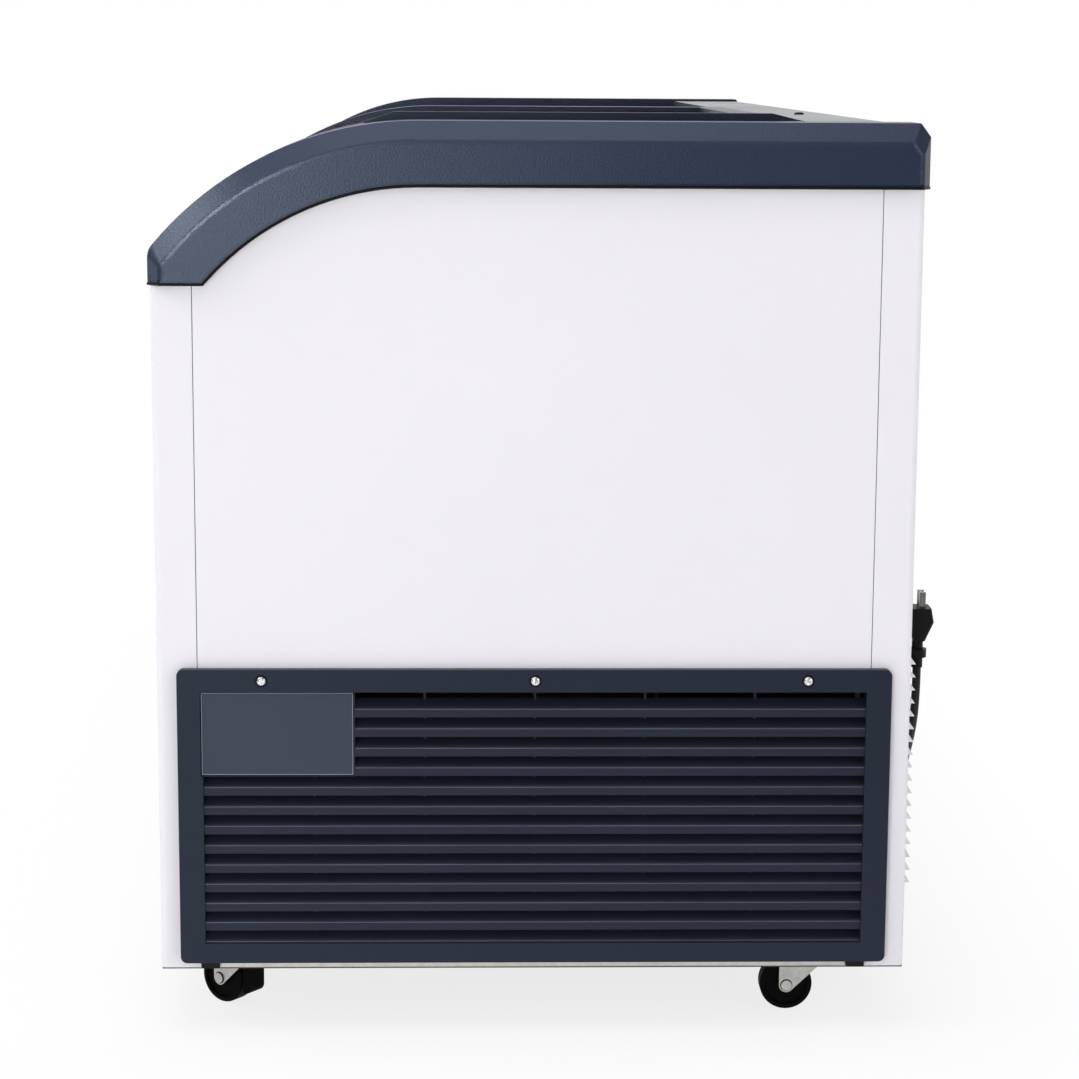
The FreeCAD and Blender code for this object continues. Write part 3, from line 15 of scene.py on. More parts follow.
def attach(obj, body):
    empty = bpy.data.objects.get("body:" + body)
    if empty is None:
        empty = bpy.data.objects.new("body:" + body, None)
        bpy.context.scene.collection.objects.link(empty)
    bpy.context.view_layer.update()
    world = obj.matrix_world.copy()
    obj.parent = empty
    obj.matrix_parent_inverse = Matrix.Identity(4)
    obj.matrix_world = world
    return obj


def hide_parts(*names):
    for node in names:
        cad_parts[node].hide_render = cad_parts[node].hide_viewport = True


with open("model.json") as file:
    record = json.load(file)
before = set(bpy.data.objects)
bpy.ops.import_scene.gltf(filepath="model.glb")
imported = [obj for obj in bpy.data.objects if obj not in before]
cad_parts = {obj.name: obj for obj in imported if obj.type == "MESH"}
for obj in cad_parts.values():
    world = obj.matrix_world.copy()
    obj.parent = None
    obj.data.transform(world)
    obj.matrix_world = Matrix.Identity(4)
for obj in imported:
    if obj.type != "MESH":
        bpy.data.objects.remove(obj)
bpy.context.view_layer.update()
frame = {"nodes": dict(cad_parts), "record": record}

# %% [markdown]
# The photograph looks at the machine end, a little from above, with a long lens. A camera is set by three
# turns (pitch, yaw and roll) and a place. Building its matrix from a forward, a right and an up direction
# keeps those turns readable, where Euler angles would hide them. A new object isn't in the picture until
# it is linked to the scene, so one small helper makes and links every object of this lesson.

# %% Place the camera
camera_place = Vector((3.3561, -0.0654, 0.8900))
camera_pitch = math.radians(9.763)
camera_yaw = math.radians(1.568)
camera_roll = math.radians(0.347)
lens_mm = 91.98
sensor_mm = 36


def placed(name, data):
    """A new object that shows the data, linked to the scene."""
    thing = bpy.data.objects.new(name, data)
    bpy.context.scene.collection.objects.link(thing)
    return thing


forward = Vector((-math.cos(camera_pitch) * math.cos(camera_yaw),
                  math.cos(camera_pitch) * math.sin(camera_yaw),
                  -math.sin(camera_pitch)))
level_right = forward.cross(Vector((0, 0, 1))).normalized()
level_up = level_right.cross(forward)
right = level_right * math.cos(camera_roll) + level_up * math.sin(camera_roll)
up = level_up * math.cos(camera_roll) - level_right * math.sin(camera_roll)

camera_data = bpy.data.cameras.new("camera")
camera_data.lens = lens_mm
camera_data.sensor_width = sensor_mm
camera = placed("camera", camera_data)
camera_turn = Matrix((right, up, -forward)).transposed().to_4x4()
camera.matrix_world = Matrix.Translation(camera_place) @ camera_turn
bpy.context.scene.camera = camera
print("camera", round(camera_place.length, 2), "m from the origin")

# %% [markdown]
# The mains lead is one rubber cord: out of the strain relief, down to the floor, round a tied coil of two
# layers, and up to a plug that is clipped to the rear panel. A NURBS spline of order 3 turns a few
# control points into a smooth line, which is how a real lead hangs. The coil's points come from a loop:
# each half turn has its own centre and radius, winding in on the floor and out again on top.

# %% Route of the mains lead
cord_radius = 0.004
coil_middle = Vector((0.640, 0.270))
coil_outer = 0.054
coil_pitch = 0.0088
coil_half_turns = 5
points_per_half_turn = 6
cord_floor = 0.0058
plug_place = Vector((0.820, 0.3612, 0.332))

gland_route = [(0.586, 0.359, 0.094), (0.586, 0.359, 0.063), (0.586, 0.352, 0.031),
               (0.586, 0.330, 0.011), (0.586, 0.303, cord_floor), (0.586, 0.278, cord_floor)]
plug_route = [(0.7028, 0.2911, 0.0146), (0.7028, 0.3173, 0.0248), (0.7028, 0.3475, 0.0435),
              (0.7028, 0.3572, 0.0680), (0.705, 0.3572, 0.104), (0.714, 0.3577, 0.140),
              (0.732, 0.3582, 0.176), (0.756, 0.3587, 0.210), (0.784, 0.3597, 0.240),
              (0.808, 0.3607, 0.270), (0.820, 0.3612, 0.304), tuple(plug_place)]


def coil_route():
    """Control points of the coil, a little outside each half turn so that the spline runs on it."""
    radii = [coil_outer - i * coil_pitch / 2 for i in range(coil_half_turns + 1)]
    radii += radii[-2::-1]
    start = coil_middle.x - coil_outer
    height = cord_floor
    stride = math.pi / points_per_half_turn
    points = []
    for i, radius in enumerate(radii):
        side = 1 if i % 2 == 0 else -1
        middle = start + side * radius
        for k in range(points_per_half_turn):
            angle = stride * (k + 0.5)
            share = (1 - math.cos(angle)) / 2 if i == coil_half_turns else 0
            reach = radius / math.cos(stride / 2)
            points.append((middle - side * reach * math.cos(angle),
                           coil_middle.y - side * reach * math.sin(angle),
                           height + share * coil_pitch))
        start += side * 2 * radius
        if i == coil_half_turns:
            height += coil_pitch
    return points


lead_points = gland_route + coil_route() + plug_route
print("lead has", len(lead_points), "control points")

# %% [markdown]
# The route becomes a curve with a round bevel. The bevel is one metre deep and each control point carries
# the cord's radius, so the two multiply to the real thickness. The lead rides the cabinet and stands in for
# the three plain solids of its route, which are hidden.

# %% Draw the lead
lead_curve = bpy.data.curves.new("mains_lead", "CURVE")
lead_curve.dimensions = "3D"
lead_curve.bevel_depth = 1.0
lead_curve.bevel_resolution = 4
lead_curve.use_fill_caps = True
lead_line = lead_curve.splines.new("NURBS")
lead_line.points.add(len(lead_points) - 1)
for control, place in zip(lead_line.points, lead_points):
    control.co = (*place, 1)
    control.radius = cord_radius
lead_line.order_u = 3
lead_line.use_endpoint_u = True
lead_line.resolution_u = 6
mains_lead = placed("mains_lead", lead_curve)
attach(mains_lead, "cabinet")
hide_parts("cord_gland_stretch", "cord_coil", "cord_plug_stretch")

# %% [markdown]
# Moulded plastic, powder coat and zinc all have a fine skin that breaks up reflections, and large, faint
# changes of tone. Dust settles on what looks up, and rolled metal has streaks. Those effects repeat in
# many finishes, so each is a shader node group: build once, place in each material with its own sizes. A
# group puts out values only. The shader stays in the material. Two helpers add nodes and fill their
# sockets, here and in all trees that follow, so that a line of code reads as one step of a tree.

# %% Shared surface effects
def fill(tree, node, *ordered, **named):
    """Fills sockets in order or by name, with numbers, or with links where a value is a node or a socket."""
    pairs = list(zip(node.inputs, ordered))
    pairs += [(node.inputs[label.replace("_", " ")], value) for label, value in named.items()]
    for socket, value in pairs:
        sources = value if isinstance(value, list) else [value]
        for source in sources:
            if isinstance(source, bpy.types.Node):
                source = source.outputs[0]
            if isinstance(source, bpy.types.NodeSocket):
                tree.links.new(source, socket)
            else:
                socket.default_value = source
    return node


def step(tree, kind, settings=None, *ordered, **named):
    """Adds a node to a tree, with its settings and its sockets filled."""
    node = tree.nodes.new(kind)
    for name, value in (settings or {}).items():
        setattr(node, name, value)
    return fill(tree, node, *ordered, **named)


def shader_group(name, inputs, outputs):
    """An empty shader group with named number inputs and number outputs."""
    tree = bpy.data.node_groups.new(name, "ShaderNodeTree")
    for label, value in inputs.items():
        socket = tree.interface.new_socket(label, in_out="INPUT", socket_type="NodeSocketFloat")
        socket.default_value = value
    for label in outputs:
        tree.interface.new_socket(label, in_out="OUTPUT", socket_type="NodeSocketFloat")
    return tree, step(tree, "NodeGroupInput").outputs, step(tree, "NodeGroupOutput")


def fine_skin():
    """Height: a fine skin at the given scale. Tone: wide, faint patches from 0 to 1."""
    tree, given, result = shader_group("fine_skin", {"Scale": 900.0, "Patch Scale": 3.0}, ["Height", "Tone"])
    place = step(tree, "ShaderNodeTexCoord").outputs["Object"]
    skin = step(tree, "ShaderNodeTexNoise", Vector=place, Scale=given["Scale"], Detail=3.0)
    patch = step(tree, "ShaderNodeTexNoise", Vector=place, Scale=given["Patch Scale"], Detail=4.0)
    fill(tree, result, Height=skin.outputs["Fac"], Tone=patch.outputs["Fac"])
    return tree


def settled_dust():
    """Mask: dust on faces that look up, broken by noise. Amount sets how much stays."""
    tree, given, result = shader_group("settled_dust", {"Amount": 0.2, "Scale": 40.0}, ["Mask"])
    place = step(tree, "ShaderNodeTexCoord").outputs
    facing = step(tree, "ShaderNodeSeparateXYZ", Vector=place["Normal"]).outputs["Z"]
    noise = step(tree, "ShaderNodeTexNoise", Vector=place["Object"], Scale=given["Scale"], Detail=6.0)
    upward = step(tree, "ShaderNodeMath", {"operation": "MULTIPLY", "use_clamp": True}, facing,
                  noise.outputs["Fac"])
    fill(tree, result, Mask=step(tree, "ShaderNodeMath", {"operation": "MULTIPLY"}, upward, given["Amount"]))
    return tree


def brushed_lines():
    """Tone: streaks along X, as on drawn or rolled metal, from 0 to 1."""
    tree, given, result = shader_group("brushed_lines", {"Scale": 300.0, "Stretch": 0.02}, ["Tone"])
    place = step(tree, "ShaderNodeTexCoord").outputs["Object"]
    split = step(tree, "ShaderNodeSeparateXYZ", Vector=place).outputs
    squeeze = step(tree, "ShaderNodeMath", {"operation": "MULTIPLY"}, split["X"], given["Stretch"])
    rejoin = step(tree, "ShaderNodeCombineXYZ", X=squeeze, Y=split["Y"], Z=split["Z"])
    noise = step(tree, "ShaderNodeTexNoise", Vector=rejoin, Scale=given["Scale"], Detail=4.0)
    fill(tree, result, Tone=noise.outputs["Fac"])
    return tree


skin_group = fine_skin()
dust_group = settled_dust()
line_group = brushed_lines()
print("shader groups", [group.name for group in (skin_group, dust_group, line_group)])

# %% [markdown]
# Every finish then follows one recipe: a Principled shader, the fine skin as bump, the wide patches or
# the streaks as a small change of colour and roughness, and dust on what looks up. Writing it as one
# function keeps the differences between finishes down to the numbers that matter.

# %% One recipe for all the opaque finishes
dust_colour = (0.62, 0.61, 0.60, 1)
noise_low = 0.3
noise_high = 0.7
coat_rough = 0.12
rough_swing = 0.12
skin_height = 0.0004


def group_node(material, group, **values):
    """Places a shader group in a material, with its own values."""
    return step(material.node_tree, "ShaderNodeGroup", {"node_tree": group}, **values)


def spread(material, source, low, high):
    """A value that runs from low to high over the middle range of a noise."""
    ramp = step(material.node_tree, "ShaderNodeMapRange", Value=source, From_Min=noise_low,
                From_Max=noise_high, To_Min=low, To_Max=high)
    return ramp.outputs["Result"]


def mixed(material, factor, first, second):
    """A colour between two colours, by a factor socket. A colour is a socket or four numbers."""
    node = step(material.node_tree, "ShaderNodeMix", {"data_type": "RGBA"}, Factor=factor)
    for name, colour in (("A", first), ("B", second)):
        socket = [s for s in node.inputs if s.name == name and s.type == "RGBA"][0]
        if isinstance(colour, bpy.types.NodeSocket):
            material.node_tree.links.new(colour, socket)
        else:
            socket.default_value = colour
    return [s for s in node.outputs if s.type == "RGBA"][0]


def finish(name, colour, rough, skin=900.0, depth=0.05, patch=3.0, vary=0.06, metal=0.0, coat=0.0,
           dust=0.0, streaks=0.0, gloss=0.5, tint=(1, 1, 1)):
    """An opaque finish: colour and roughness that vary a little, a fine skin, streaks and dust."""
    material = bpy.data.materials.new(name)
    material.use_nodes = True
    tree = material.node_tree
    surface = group_node(material, skin_group, Scale=skin, Patch_Scale=patch)
    tone = surface.outputs["Tone"]
    if streaks:
        tone = group_node(material, line_group, Scale=streaks).outputs["Tone"]
    darker = tuple(c * (1 - vary) for c in colour) + (1,)
    lighter = tuple(min(1, c * (1 + vary)) for c in colour) + (1,)
    shade = mixed(material, spread(material, tone, 0, 1), darker, lighter)
    if dust:
        mask = group_node(material, dust_group, Amount=dust).outputs["Mask"]
        shade = mixed(material, mask, shade, dust_colour)
    roughness = spread(material, tone, rough * (1 - rough_swing), rough * (1 + rough_swing))
    bump = step(tree, "ShaderNodeBump", Strength=depth, Distance=skin_height,
                Height=surface.outputs["Height"])
    fill(tree, tree.nodes["Principled BSDF"], Base_Color=shade, Roughness=roughness, Normal=bump,
         Metallic=metal, Specular_IOR_Level=gloss, Specular_Tint=(*tint, 1), Coat_Weight=coat,
         Coat_Roughness=coat_rough)
    return material


print("a finish swings its roughness by", rough_swing, "and its skin is", 1000 * skin_height, "mm deep")

# %% [markdown]
# Glass is the exception: its metal and transmission stay plain numbers, because exporters only read them
# that way. A faint green tint and a trace of roughness are what float glass shows at its edges.

# %% Bent glass for the lids
glass_tint = (0.90, 0.955, 0.94, 1)
glass_index = 1.5
glass_rough = 0.03


def bent_glass(name):
    """Clear glass whose roughness wanders a little."""
    material = bpy.data.materials.new(name)
    material.use_nodes = True
    tree = material.node_tree
    surface = group_node(material, skin_group, Scale=6.0, Patch_Scale=8.0)
    fill(tree, tree.nodes["Principled BSDF"], Base_Color=glass_tint, Transmission_Weight=1.0, IOR=glass_index,
         Roughness=spread(material, surface.outputs["Tone"], 0.0, glass_rough))
    return material


print("glass with an index of", glass_index)

# %% [markdown]
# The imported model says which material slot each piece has, so one finish for each slot is enough, and a
# loop hands them out. Navy plastic mirrors a room in a cool tone, which the tint of its gloss gives. The
# differences lie in roughness and skin: the caps have a coarse grain, the rails are smooth and the wheels
# are dull.

# %% Dress every CAD piece
cool = (0.70, 0.82, 1.0)
finishes = {
    "white_sheet": finish("white_enamel", (0.83, 0.815, 0.862), 0.55, skin=420, depth=0.10, vary=0.012,
                          gloss=0.15),
    "zinc_steel": finish("zinc_plate", (0.60, 0.59, 0.56), 0.40, metal=1.0, vary=0.14, patch=40, streaks=160),
    "foam": finish("cut_foam", (0.80, 0.72, 0.50), 0.9, skin=260, depth=0.5, vary=0.08),
    "liner_sheet": finish("liner_coat", (0.84, 0.85, 0.87), 0.35, skin=300, depth=0.12, vary=0.015),
    "copper": finish("copper_tube", (0.72, 0.38, 0.24), 0.3, metal=1.0, vary=0.15, patch=30),
    "cap_plastic": finish("cap_moulding", (0.013, 0.018, 0.040), 0.34, skin=560, depth=0.50, vary=0.06,
                          dust=0.01, gloss=0.5, tint=cool),
    "rail_plastic": finish("rail_moulding", (0.045, 0.051, 0.080), 0.28, skin=1400, depth=0.04, vary=0.05),
    "grille_plastic": finish("grille_moulding", (0.014, 0.018, 0.032), 0.42, skin=1400, depth=0.16, vary=0.07,
                             dust=0.01, gloss=0.28, tint=cool),
    "black_plastic": finish("black_moulding", (0.004, 0.004, 0.005), 0.45, skin=1200, depth=0.15, vary=0.1,
                            gloss=0.2),
    "black_paint": finish("black_enamel", (0.010, 0.010, 0.011), 0.28, vary=0.1, coat=0.4, dust=0.12),
    "fins": finish("fin_aluminium", (0.74, 0.75, 0.77), 0.4, metal=1.0, vary=0.08, dust=0.15),
    "lid_plastic": finish("lid_moulding", (0.016, 0.020, 0.040), 0.36, skin=800, depth=0.25, vary=0.05,
                          dust=0.01, gloss=0.4, tint=cool),
    "clear_glass": bent_glass("bent_glass"),
    "pile": finish("pile_strip", (0.02, 0.02, 0.022), 0.9, skin=700, depth=0.6, vary=0.2),
    "wheel_rubber": finish("wheel_rubber", (0.003, 0.003, 0.003), 0.6, skin=600, depth=0.25, vary=0.15,
                           dust=0.005, gloss=0.04),
    "cord_sheath": finish("cord_sheath", (0.005, 0.005, 0.006), 0.42, skin=900, depth=0.12, vary=0.1,
                          gloss=0.3),
    "nickel": finish("nickel_blades", (0.80, 0.78, 0.74), 0.2, metal=1.0, vary=0.05),
}
slot_of = {part["node"]: part["material_slot"] for part in frame["record"]["subparts"]}
for node, piece in frame["nodes"].items():
    for place in piece.material_slots:
        place.material = finishes[slot_of[node]]
mains_lead.data.materials.append(finishes["cord_sheath"])
print("dressed", len(frame["nodes"]), "pieces in", len(finishes), "finishes")

# %% [markdown]
# Some pieces depart from the rest of their slot. The blank plate in the grille is a separate moulding
# with a smoother, greyer face. The last millimetre above the base pan's lower rim is painted dark, as
# painted shade for the shade under the pan's folded edge. A mask on Object Z paints that rim on the one
# mesh, where a second mesh would show. The sheets round the machine are painted near black, and the copper
# pipes there an aged, dark brown, both as painted shade for the dark space that the grille looks into. The
# casters' forks are greyer than fresh zinc, and the brake pedals are a deeper black than the other
# mouldings. The casters are listed by corner, each with the place of its kingpin and its turn in degrees,
# because later steps need these too.

# %% Finishes for single pieces
rim_height = 0.0608
rim_fade = 0.0006
rim_shade_colour = (0.05, 0.05, 0.045, 1)
casters = {"front_near": (0.818, -0.272, -38.0), "front_far": (-0.818, -0.272, -38.0),
           "rear_near": (0.826, 0.268, 0.0), "rear_far": (-0.826, 0.268, 0.0)}


def painted_rim_shade(material, below, fade, colour):
    """Darkens a finish under a height, over a short fade."""
    tree = material.node_tree
    shader = tree.nodes["Principled BSDF"]
    place = step(tree, "ShaderNodeTexCoord").outputs["Object"]
    height = step(tree, "ShaderNodeSeparateXYZ", Vector=place).outputs["Z"]
    ramp = step(tree, "ShaderNodeMapRange", Value=height, From_Min=below, From_Max=below + fade, To_Min=1.0,
                To_Max=0.0)
    plain = shader.inputs["Base Color"].links[0].from_socket
    fill(tree, shader, Base_Color=mixed(material, ramp.outputs["Result"], plain, colour))


plate_face = finish("plate_face", (0.036, 0.043, 0.066), 0.45, skin=500, depth=0.10, vary=0.05, gloss=0.4,
                    tint=cool)
# A pale grey far lighter than the plate: painted highlight for the plate's lit edge.
painted_plate_highlight = finish("painted_plate_highlight", (0.28, 0.29, 0.33), 0.4, skin=900, depth=0.05, vary=0.05, gloss=0.3)
pan_steel = finish("pan_steel", (0.56, 0.55, 0.52), 0.42, metal=1.0, vary=0.10, patch=20, streaks=120)
# The dark band under rim_height is painted shade, for the shade under the pan's folded edge.
painted_rim_shade(pan_steel, rim_height, rim_fade, rim_shade_colour)
# Near-black steel is painted shade: the dark space behind the grille, and the rings round the rivets.
painted_shade_steel = finish("painted_shade_steel", (0.045, 0.044, 0.043), 0.7, metal=0.4, vary=0.25, patch=25, dust=0.05,
                    gloss=0.1)
fork_steel = finish("fork_steel", (0.44, 0.435, 0.41), 0.33, metal=1.0, vary=0.16, patch=30, streaks=160)
# Copper that is aged, and darkened further as painted shade for the space behind the grille.
aged_and_shaded_copper = finish("aged_and_shaded_copper", (0.10, 0.045, 0.028), 0.55, metal=0.8, vary=0.3, patch=40, dust=0.1)
pedal_black = finish("pedal_black", (0.003, 0.003, 0.003), 0.6, skin=900, depth=0.15, vary=0.1, gloss=0.03)
own_finish = {"control_plate": plate_face, "base_pan": pan_steel, "compartment_wall": painted_shade_steel,
              "fan_shroud": painted_shade_steel, "compressor_bracket": painted_shade_steel, "suction_pipe": aged_and_shaded_copper,
              "discharge_pipe": aged_and_shaded_copper, "filter_drier": aged_and_shaded_copper}
for corner in casters:
    own_finish[f"caster_fork_{corner}"] = fork_steel
    if corner.startswith("front"):
        own_finish[f"brake_pedal_{corner}"] = pedal_black
for node, paint in own_finish.items():
    for place in frame["nodes"][node].material_slots:
        place.material = paint
print("own finishes for", sorted(own_finish))

# %% [markdown]
# Screws, bolts, sealant and bristles repeat, or follow a line. Modelled one by one they would be hard to
# keep alike, so each kind is a Geometry Nodes tree: points or lines come in, named sizes set the shape,
# and a finished mesh goes out. Helpers keep the trees short: two open and close a tree, one makes the
# seeds, and one grows a tree on its seeds and keeps the result as a plain mesh.

# %% Helpers for trees that grow small hardware
sharp_angle = math.radians(35)


def open_tree(name, sizes):
    """A geometry tree with seeds, named sizes and a finish coming in, and a mesh going out."""
    tree = bpy.data.node_groups.new(name, "GeometryNodeTree")
    tree.interface.new_socket("Seeds", in_out="INPUT", socket_type="NodeSocketGeometry")
    for label, value in sizes.items():
        kind = "NodeSocketInt" if isinstance(value, int) else "NodeSocketFloat"
        tree.interface.new_socket(label, in_out="INPUT", socket_type=kind).default_value = value
    tree.interface.new_socket("Finish", in_out="INPUT", socket_type="NodeSocketMaterial")
    tree.interface.new_socket("Mesh", in_out="OUTPUT", socket_type="NodeSocketGeometry")
    return tree, step(tree, "NodeGroupInput").outputs


def close_tree(tree, given, geometry):
    """Ends a tree: instances become real meshes and get the finish."""
    real = step(tree, "GeometryNodeRealizeInstances", Geometry=geometry)
    painted = step(tree, "GeometryNodeSetMaterial", Geometry=real, Material=given["Finish"])
    step(tree, "NodeGroupOutput", Mesh=painted)
    return tree


def grown(name, tree, seeds, **values):
    """Grows a tree on a seed mesh, and keeps what it made as one plain mesh."""
    piece = placed(name, seeds)
    modifier = piece.modifiers.new("grow", "NODES")
    modifier.node_group = tree
    for item in tree.interface.items_tree:
        if item.in_out == "INPUT" and item.name in values:
            modifier[item.identifier] = values[item.name]
    ready = piece.evaluated_get(bpy.context.evaluated_depsgraph_get())
    mesh = bpy.data.meshes.new_from_object(ready)
    piece.modifiers.remove(modifier)
    piece.data = mesh
    mesh.name = name
    mesh.materials.clear()
    mesh.materials.append(values["Finish"])
    mesh.polygons.foreach_set("material_index", [0] * len(mesh.polygons))
    mesh.shade_smooth()
    mesh.set_sharp_from_angle(angle=sharp_angle)
    print(name, "faces", len(mesh.polygons), "in", values["Finish"].name)
    return piece


def seed_mesh(name, points, lines=()):
    """Loose points, or points joined by lines, for a tree to grow on."""
    mesh = bpy.data.meshes.new(name)
    mesh.from_pydata(points, lines, [])
    return mesh


print("edges past", round(math.degrees(sharp_angle)), "degrees stay sharp")

# %% [markdown]
# The grille hangs on three cross-head screws. A head is half a flattened ball with a cross cut into it,
# so the tree cuts a unit ball with three boxes, and each point scales it to size and turns it by its own
# chance angle, as a driver leaves it. A black ring round each head is painted shade, for the shade of the
# recess that the head sits in.

# %% Grille screws and the painted shade rings round them
screw_face = 0.898
screw_height = 0.3355
slot_length = 1.25
slot_depth = 1.2
screw_points = [(screw_face, y, screw_height) for y in (-0.251, -0.001, 0.249)]
towards_end = (0, math.pi / 2, 0)


def cross_head_tree():
    """Screw heads: the upper half of a unit ball less a cross, scaled to size on each seed point."""
    tree, given = open_tree("cross_head_screws", {"Radius": 0.0042, "Height": 0.002, "Slot": 0.26, "Seed": 5})
    ball = step(tree, "GeometryNodeMeshUVSphere", Segments=32, Rings=16, Radius=1.0)
    under = step(tree, "GeometryNodeMeshCube", Size=(4, 4, 2))
    cuts = [step(tree, "GeometryNodeTransform", Geometry=under, Translation=(0, 0, -1))]
    long_way = step(tree, "ShaderNodeCombineXYZ", X=slot_length, Y=given["Slot"], Z=slot_depth)
    cross_way = step(tree, "ShaderNodeCombineXYZ", X=given["Slot"], Y=slot_length, Z=slot_depth)
    for size in (long_way, cross_way):
        slot = step(tree, "GeometryNodeMeshCube", Size=size)
        cuts.append(step(tree, "GeometryNodeTransform", Geometry=slot, Translation=(0, 0, 1)))
    head = step(tree, "GeometryNodeMeshBoolean", {"operation": "DIFFERENCE", "solver": "EXACT"},
                Mesh_1=ball, Mesh_2=cuts)
    size = step(tree, "ShaderNodeCombineXYZ", X=given["Radius"], Y=given["Radius"], Z=given["Height"])
    heads = step(tree, "GeometryNodeInstanceOnPoints", Points=given["Seeds"], Instance=head,
                 Rotation=towards_end, Scale=size)
    spin = step(tree, "FunctionNodeRandomValue", {"data_type": "FLOAT_VECTOR"}, Min=(0, 0, -math.pi),
                Max=(0, 0, math.pi), Seed=given["Seed"])
    turned = step(tree, "GeometryNodeRotateInstances", Instances=heads, Rotation=spin)
    return close_tree(tree, given, turned)


def shade_ring_tree():
    """A round ring on each seed point."""
    tree, given = open_tree("painted_shade_rings", {"Radius": 0.0050, "Tube": 0.0008})
    circle = step(tree, "GeometryNodeCurvePrimitiveCircle", Resolution=40, Radius=given["Radius"])
    section = step(tree, "GeometryNodeCurvePrimitiveCircle", Resolution=10, Radius=given["Tube"])
    ring = step(tree, "GeometryNodeCurveToMesh", Curve=circle, Profile_Curve=section)
    rings = step(tree, "GeometryNodeInstanceOnPoints", Points=given["Seeds"], Instance=ring,
                 Rotation=towards_end)
    return close_tree(tree, given, rings)


screw_steel = finish("screw_steel", (0.84, 0.86, 0.90), 0.30, metal=1.0, vary=0.06, patch=200)
screw_heads = grown("screw_heads", cross_head_tree(), seed_mesh("screw_seeds", screw_points),
                    Finish=screw_steel)
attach(screw_heads, "cabinet")
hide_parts("grille_screws")
# Painted shade: a black ring round each screw head stands for the shade of its recess.
screw_shade_rings = grown("screw_shade_rings", shade_ring_tree(), seed_mesh("shade_ring_seeds", screw_points),
                      Finish=finishes["black_plastic"])
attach(screw_shade_rings, "cabinet")

# %% [markdown]
# Where the folded edges of the front and rear sheets meet an end panel, a bead of grey sealant fills the
# seam. A bead follows a line, so one tree turns seed lines into round beads. The same tree draws a thin
# light line round the blank plate, from four points joined in a ring: a painted highlight where the
# plate's edge catches the light.

# %% Sealant beads and the painted highlight round the plate
seam_front = -0.3096
seam_rear = 0.3076
seam_depth = 0.8892
front_top = 0.700
rear_top = 0.785
seam_feet = {1: 0.347, -1: 0.0618}
plate_low = Vector((0.8955, -0.3058, 0.2475))
plate_high = Vector((0.8955, -0.1680, 0.3238))
plate_highlight_radius = 0.0005


def bead_tree():
    """A round bead along every seed line."""
    tree, given = open_tree("beads_on_lines", {"Radius": 0.00036, "Sides": 8})
    path = step(tree, "GeometryNodeMeshToCurve", Mesh=given["Seeds"])
    section = step(tree, "GeometryNodeCurvePrimitiveCircle", Resolution=given["Sides"],
                   Radius=given["Radius"])
    bead = step(tree, "GeometryNodeCurveToMesh", Curve=path, Profile_Curve=section, Fill_Caps=True)
    return close_tree(tree, given, bead)


def in_pairs(points):
    """Lines that join points two by two."""
    return [(i, i + 1) for i in range(0, len(points), 2)]


seam_points = []
for end, foot in seam_feet.items():
    for y, top in ((seam_front, front_top), (seam_rear, rear_top)):
        seam_points += [(end * seam_depth, y, foot), (end * seam_depth, y, top)]
plate_points = [plate_low, (plate_low.x, plate_high.y, plate_low.z), plate_high,
                (plate_low.x, plate_low.y, plate_high.z)]
plate_ring = [(0, 1), (1, 2), (2, 3), (3, 0)]
beads = bead_tree()
sealant = finish("grey_sealant", (0.14, 0.14, 0.15), 0.6, skin=300, depth=0.1, vary=0.1, gloss=0.2)
seam_beads = grown("seam_beads", beads, seed_mesh("seam_seeds", seam_points, in_pairs(seam_points)),
                   Finish=sealant)
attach(seam_beads, "cabinet")
# Painted highlight: a pale bead round the plate where its edge catches the light.
plate_highlight_rim = grown("plate_highlight_rim", beads, seed_mesh("plate_seeds", plate_points, plate_ring),
                  Radius=plate_highlight_radius, Finish=painted_plate_highlight)
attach(plate_highlight_rim, "cabinet")

# %% [markdown]
# Each louvre blade of the grille ends in an upright lip, and the lip's upper edge is rounded and a little
# polished. It catches the light as a fine line along the blade. A bead on a line at each edge gives that
# round form, and the bead's finish is lighter than the grille: a painted highlight along the edge. The
# blades beside the control plate are shorter, so their lines start where the plate ends.

# %% Lighter edges of the louvre blades, a painted highlight
blade_rows = 13
blade_pitch = 0.0184
first_edge = 0.0879
edge_depth = 0.8952
blade_start = -0.3045
short_start = -0.1655
blade_end = 0.3025
edge_radius = 0.0005
# A finish lighter than the grille: painted highlight on the round, glossy edge of each lip.
painted_edge_highlight = finish("painted_edge_highlight", (0.060, 0.066, 0.088), 0.32, skin=900, depth=0.05, vary=0.2, patch=12,
                    gloss=0.6)
edge_points = []
for row in range(blade_rows):
    z = first_edge + row * blade_pitch
    start = short_start if z > plate_low.z - blade_pitch / 2 else blade_start
    edge_points += [(edge_depth, start, z), (edge_depth, blade_end, z)]
blade_highlight_edges = grown("blade_highlight_edges", beads, seed_mesh("edge_seeds", edge_points, in_pairs(edge_points)),
                    Radius=edge_radius, Finish=painted_edge_highlight)
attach(blade_highlight_edges, "cabinet")

# %% [markdown]
# Under each end cap a soft black gasket closes the gap to the sheets; its black is also painted shade, for
# the shade under the cap's rounded lower edge. It follows the cap's lower edge, so its path is read from
# the cap itself: the edges at the lip's outer face whose other face runs inwards below it. A short rib of
# cap plastic covers the place at each front corner where the sheet's fold meets the lip.

# %% Gaskets under the end caps, black as painted shade
lip_depth = 0.898
lip_turn = 0.886
cap_inner = 0.826
cap_half = 0.3485
shade_gasket_radius = 0.0014
weld_reach = 0.00002
face_slack = 0.0001
inner_step = 0.0002
sideways_limit = 0.7
upward_limit = 0.3
corner_reach = 0.33
corner_radius = 0.0022
corner_place = (0.8879, -0.3449)
corner_heights = (0.6965, 0.7048)


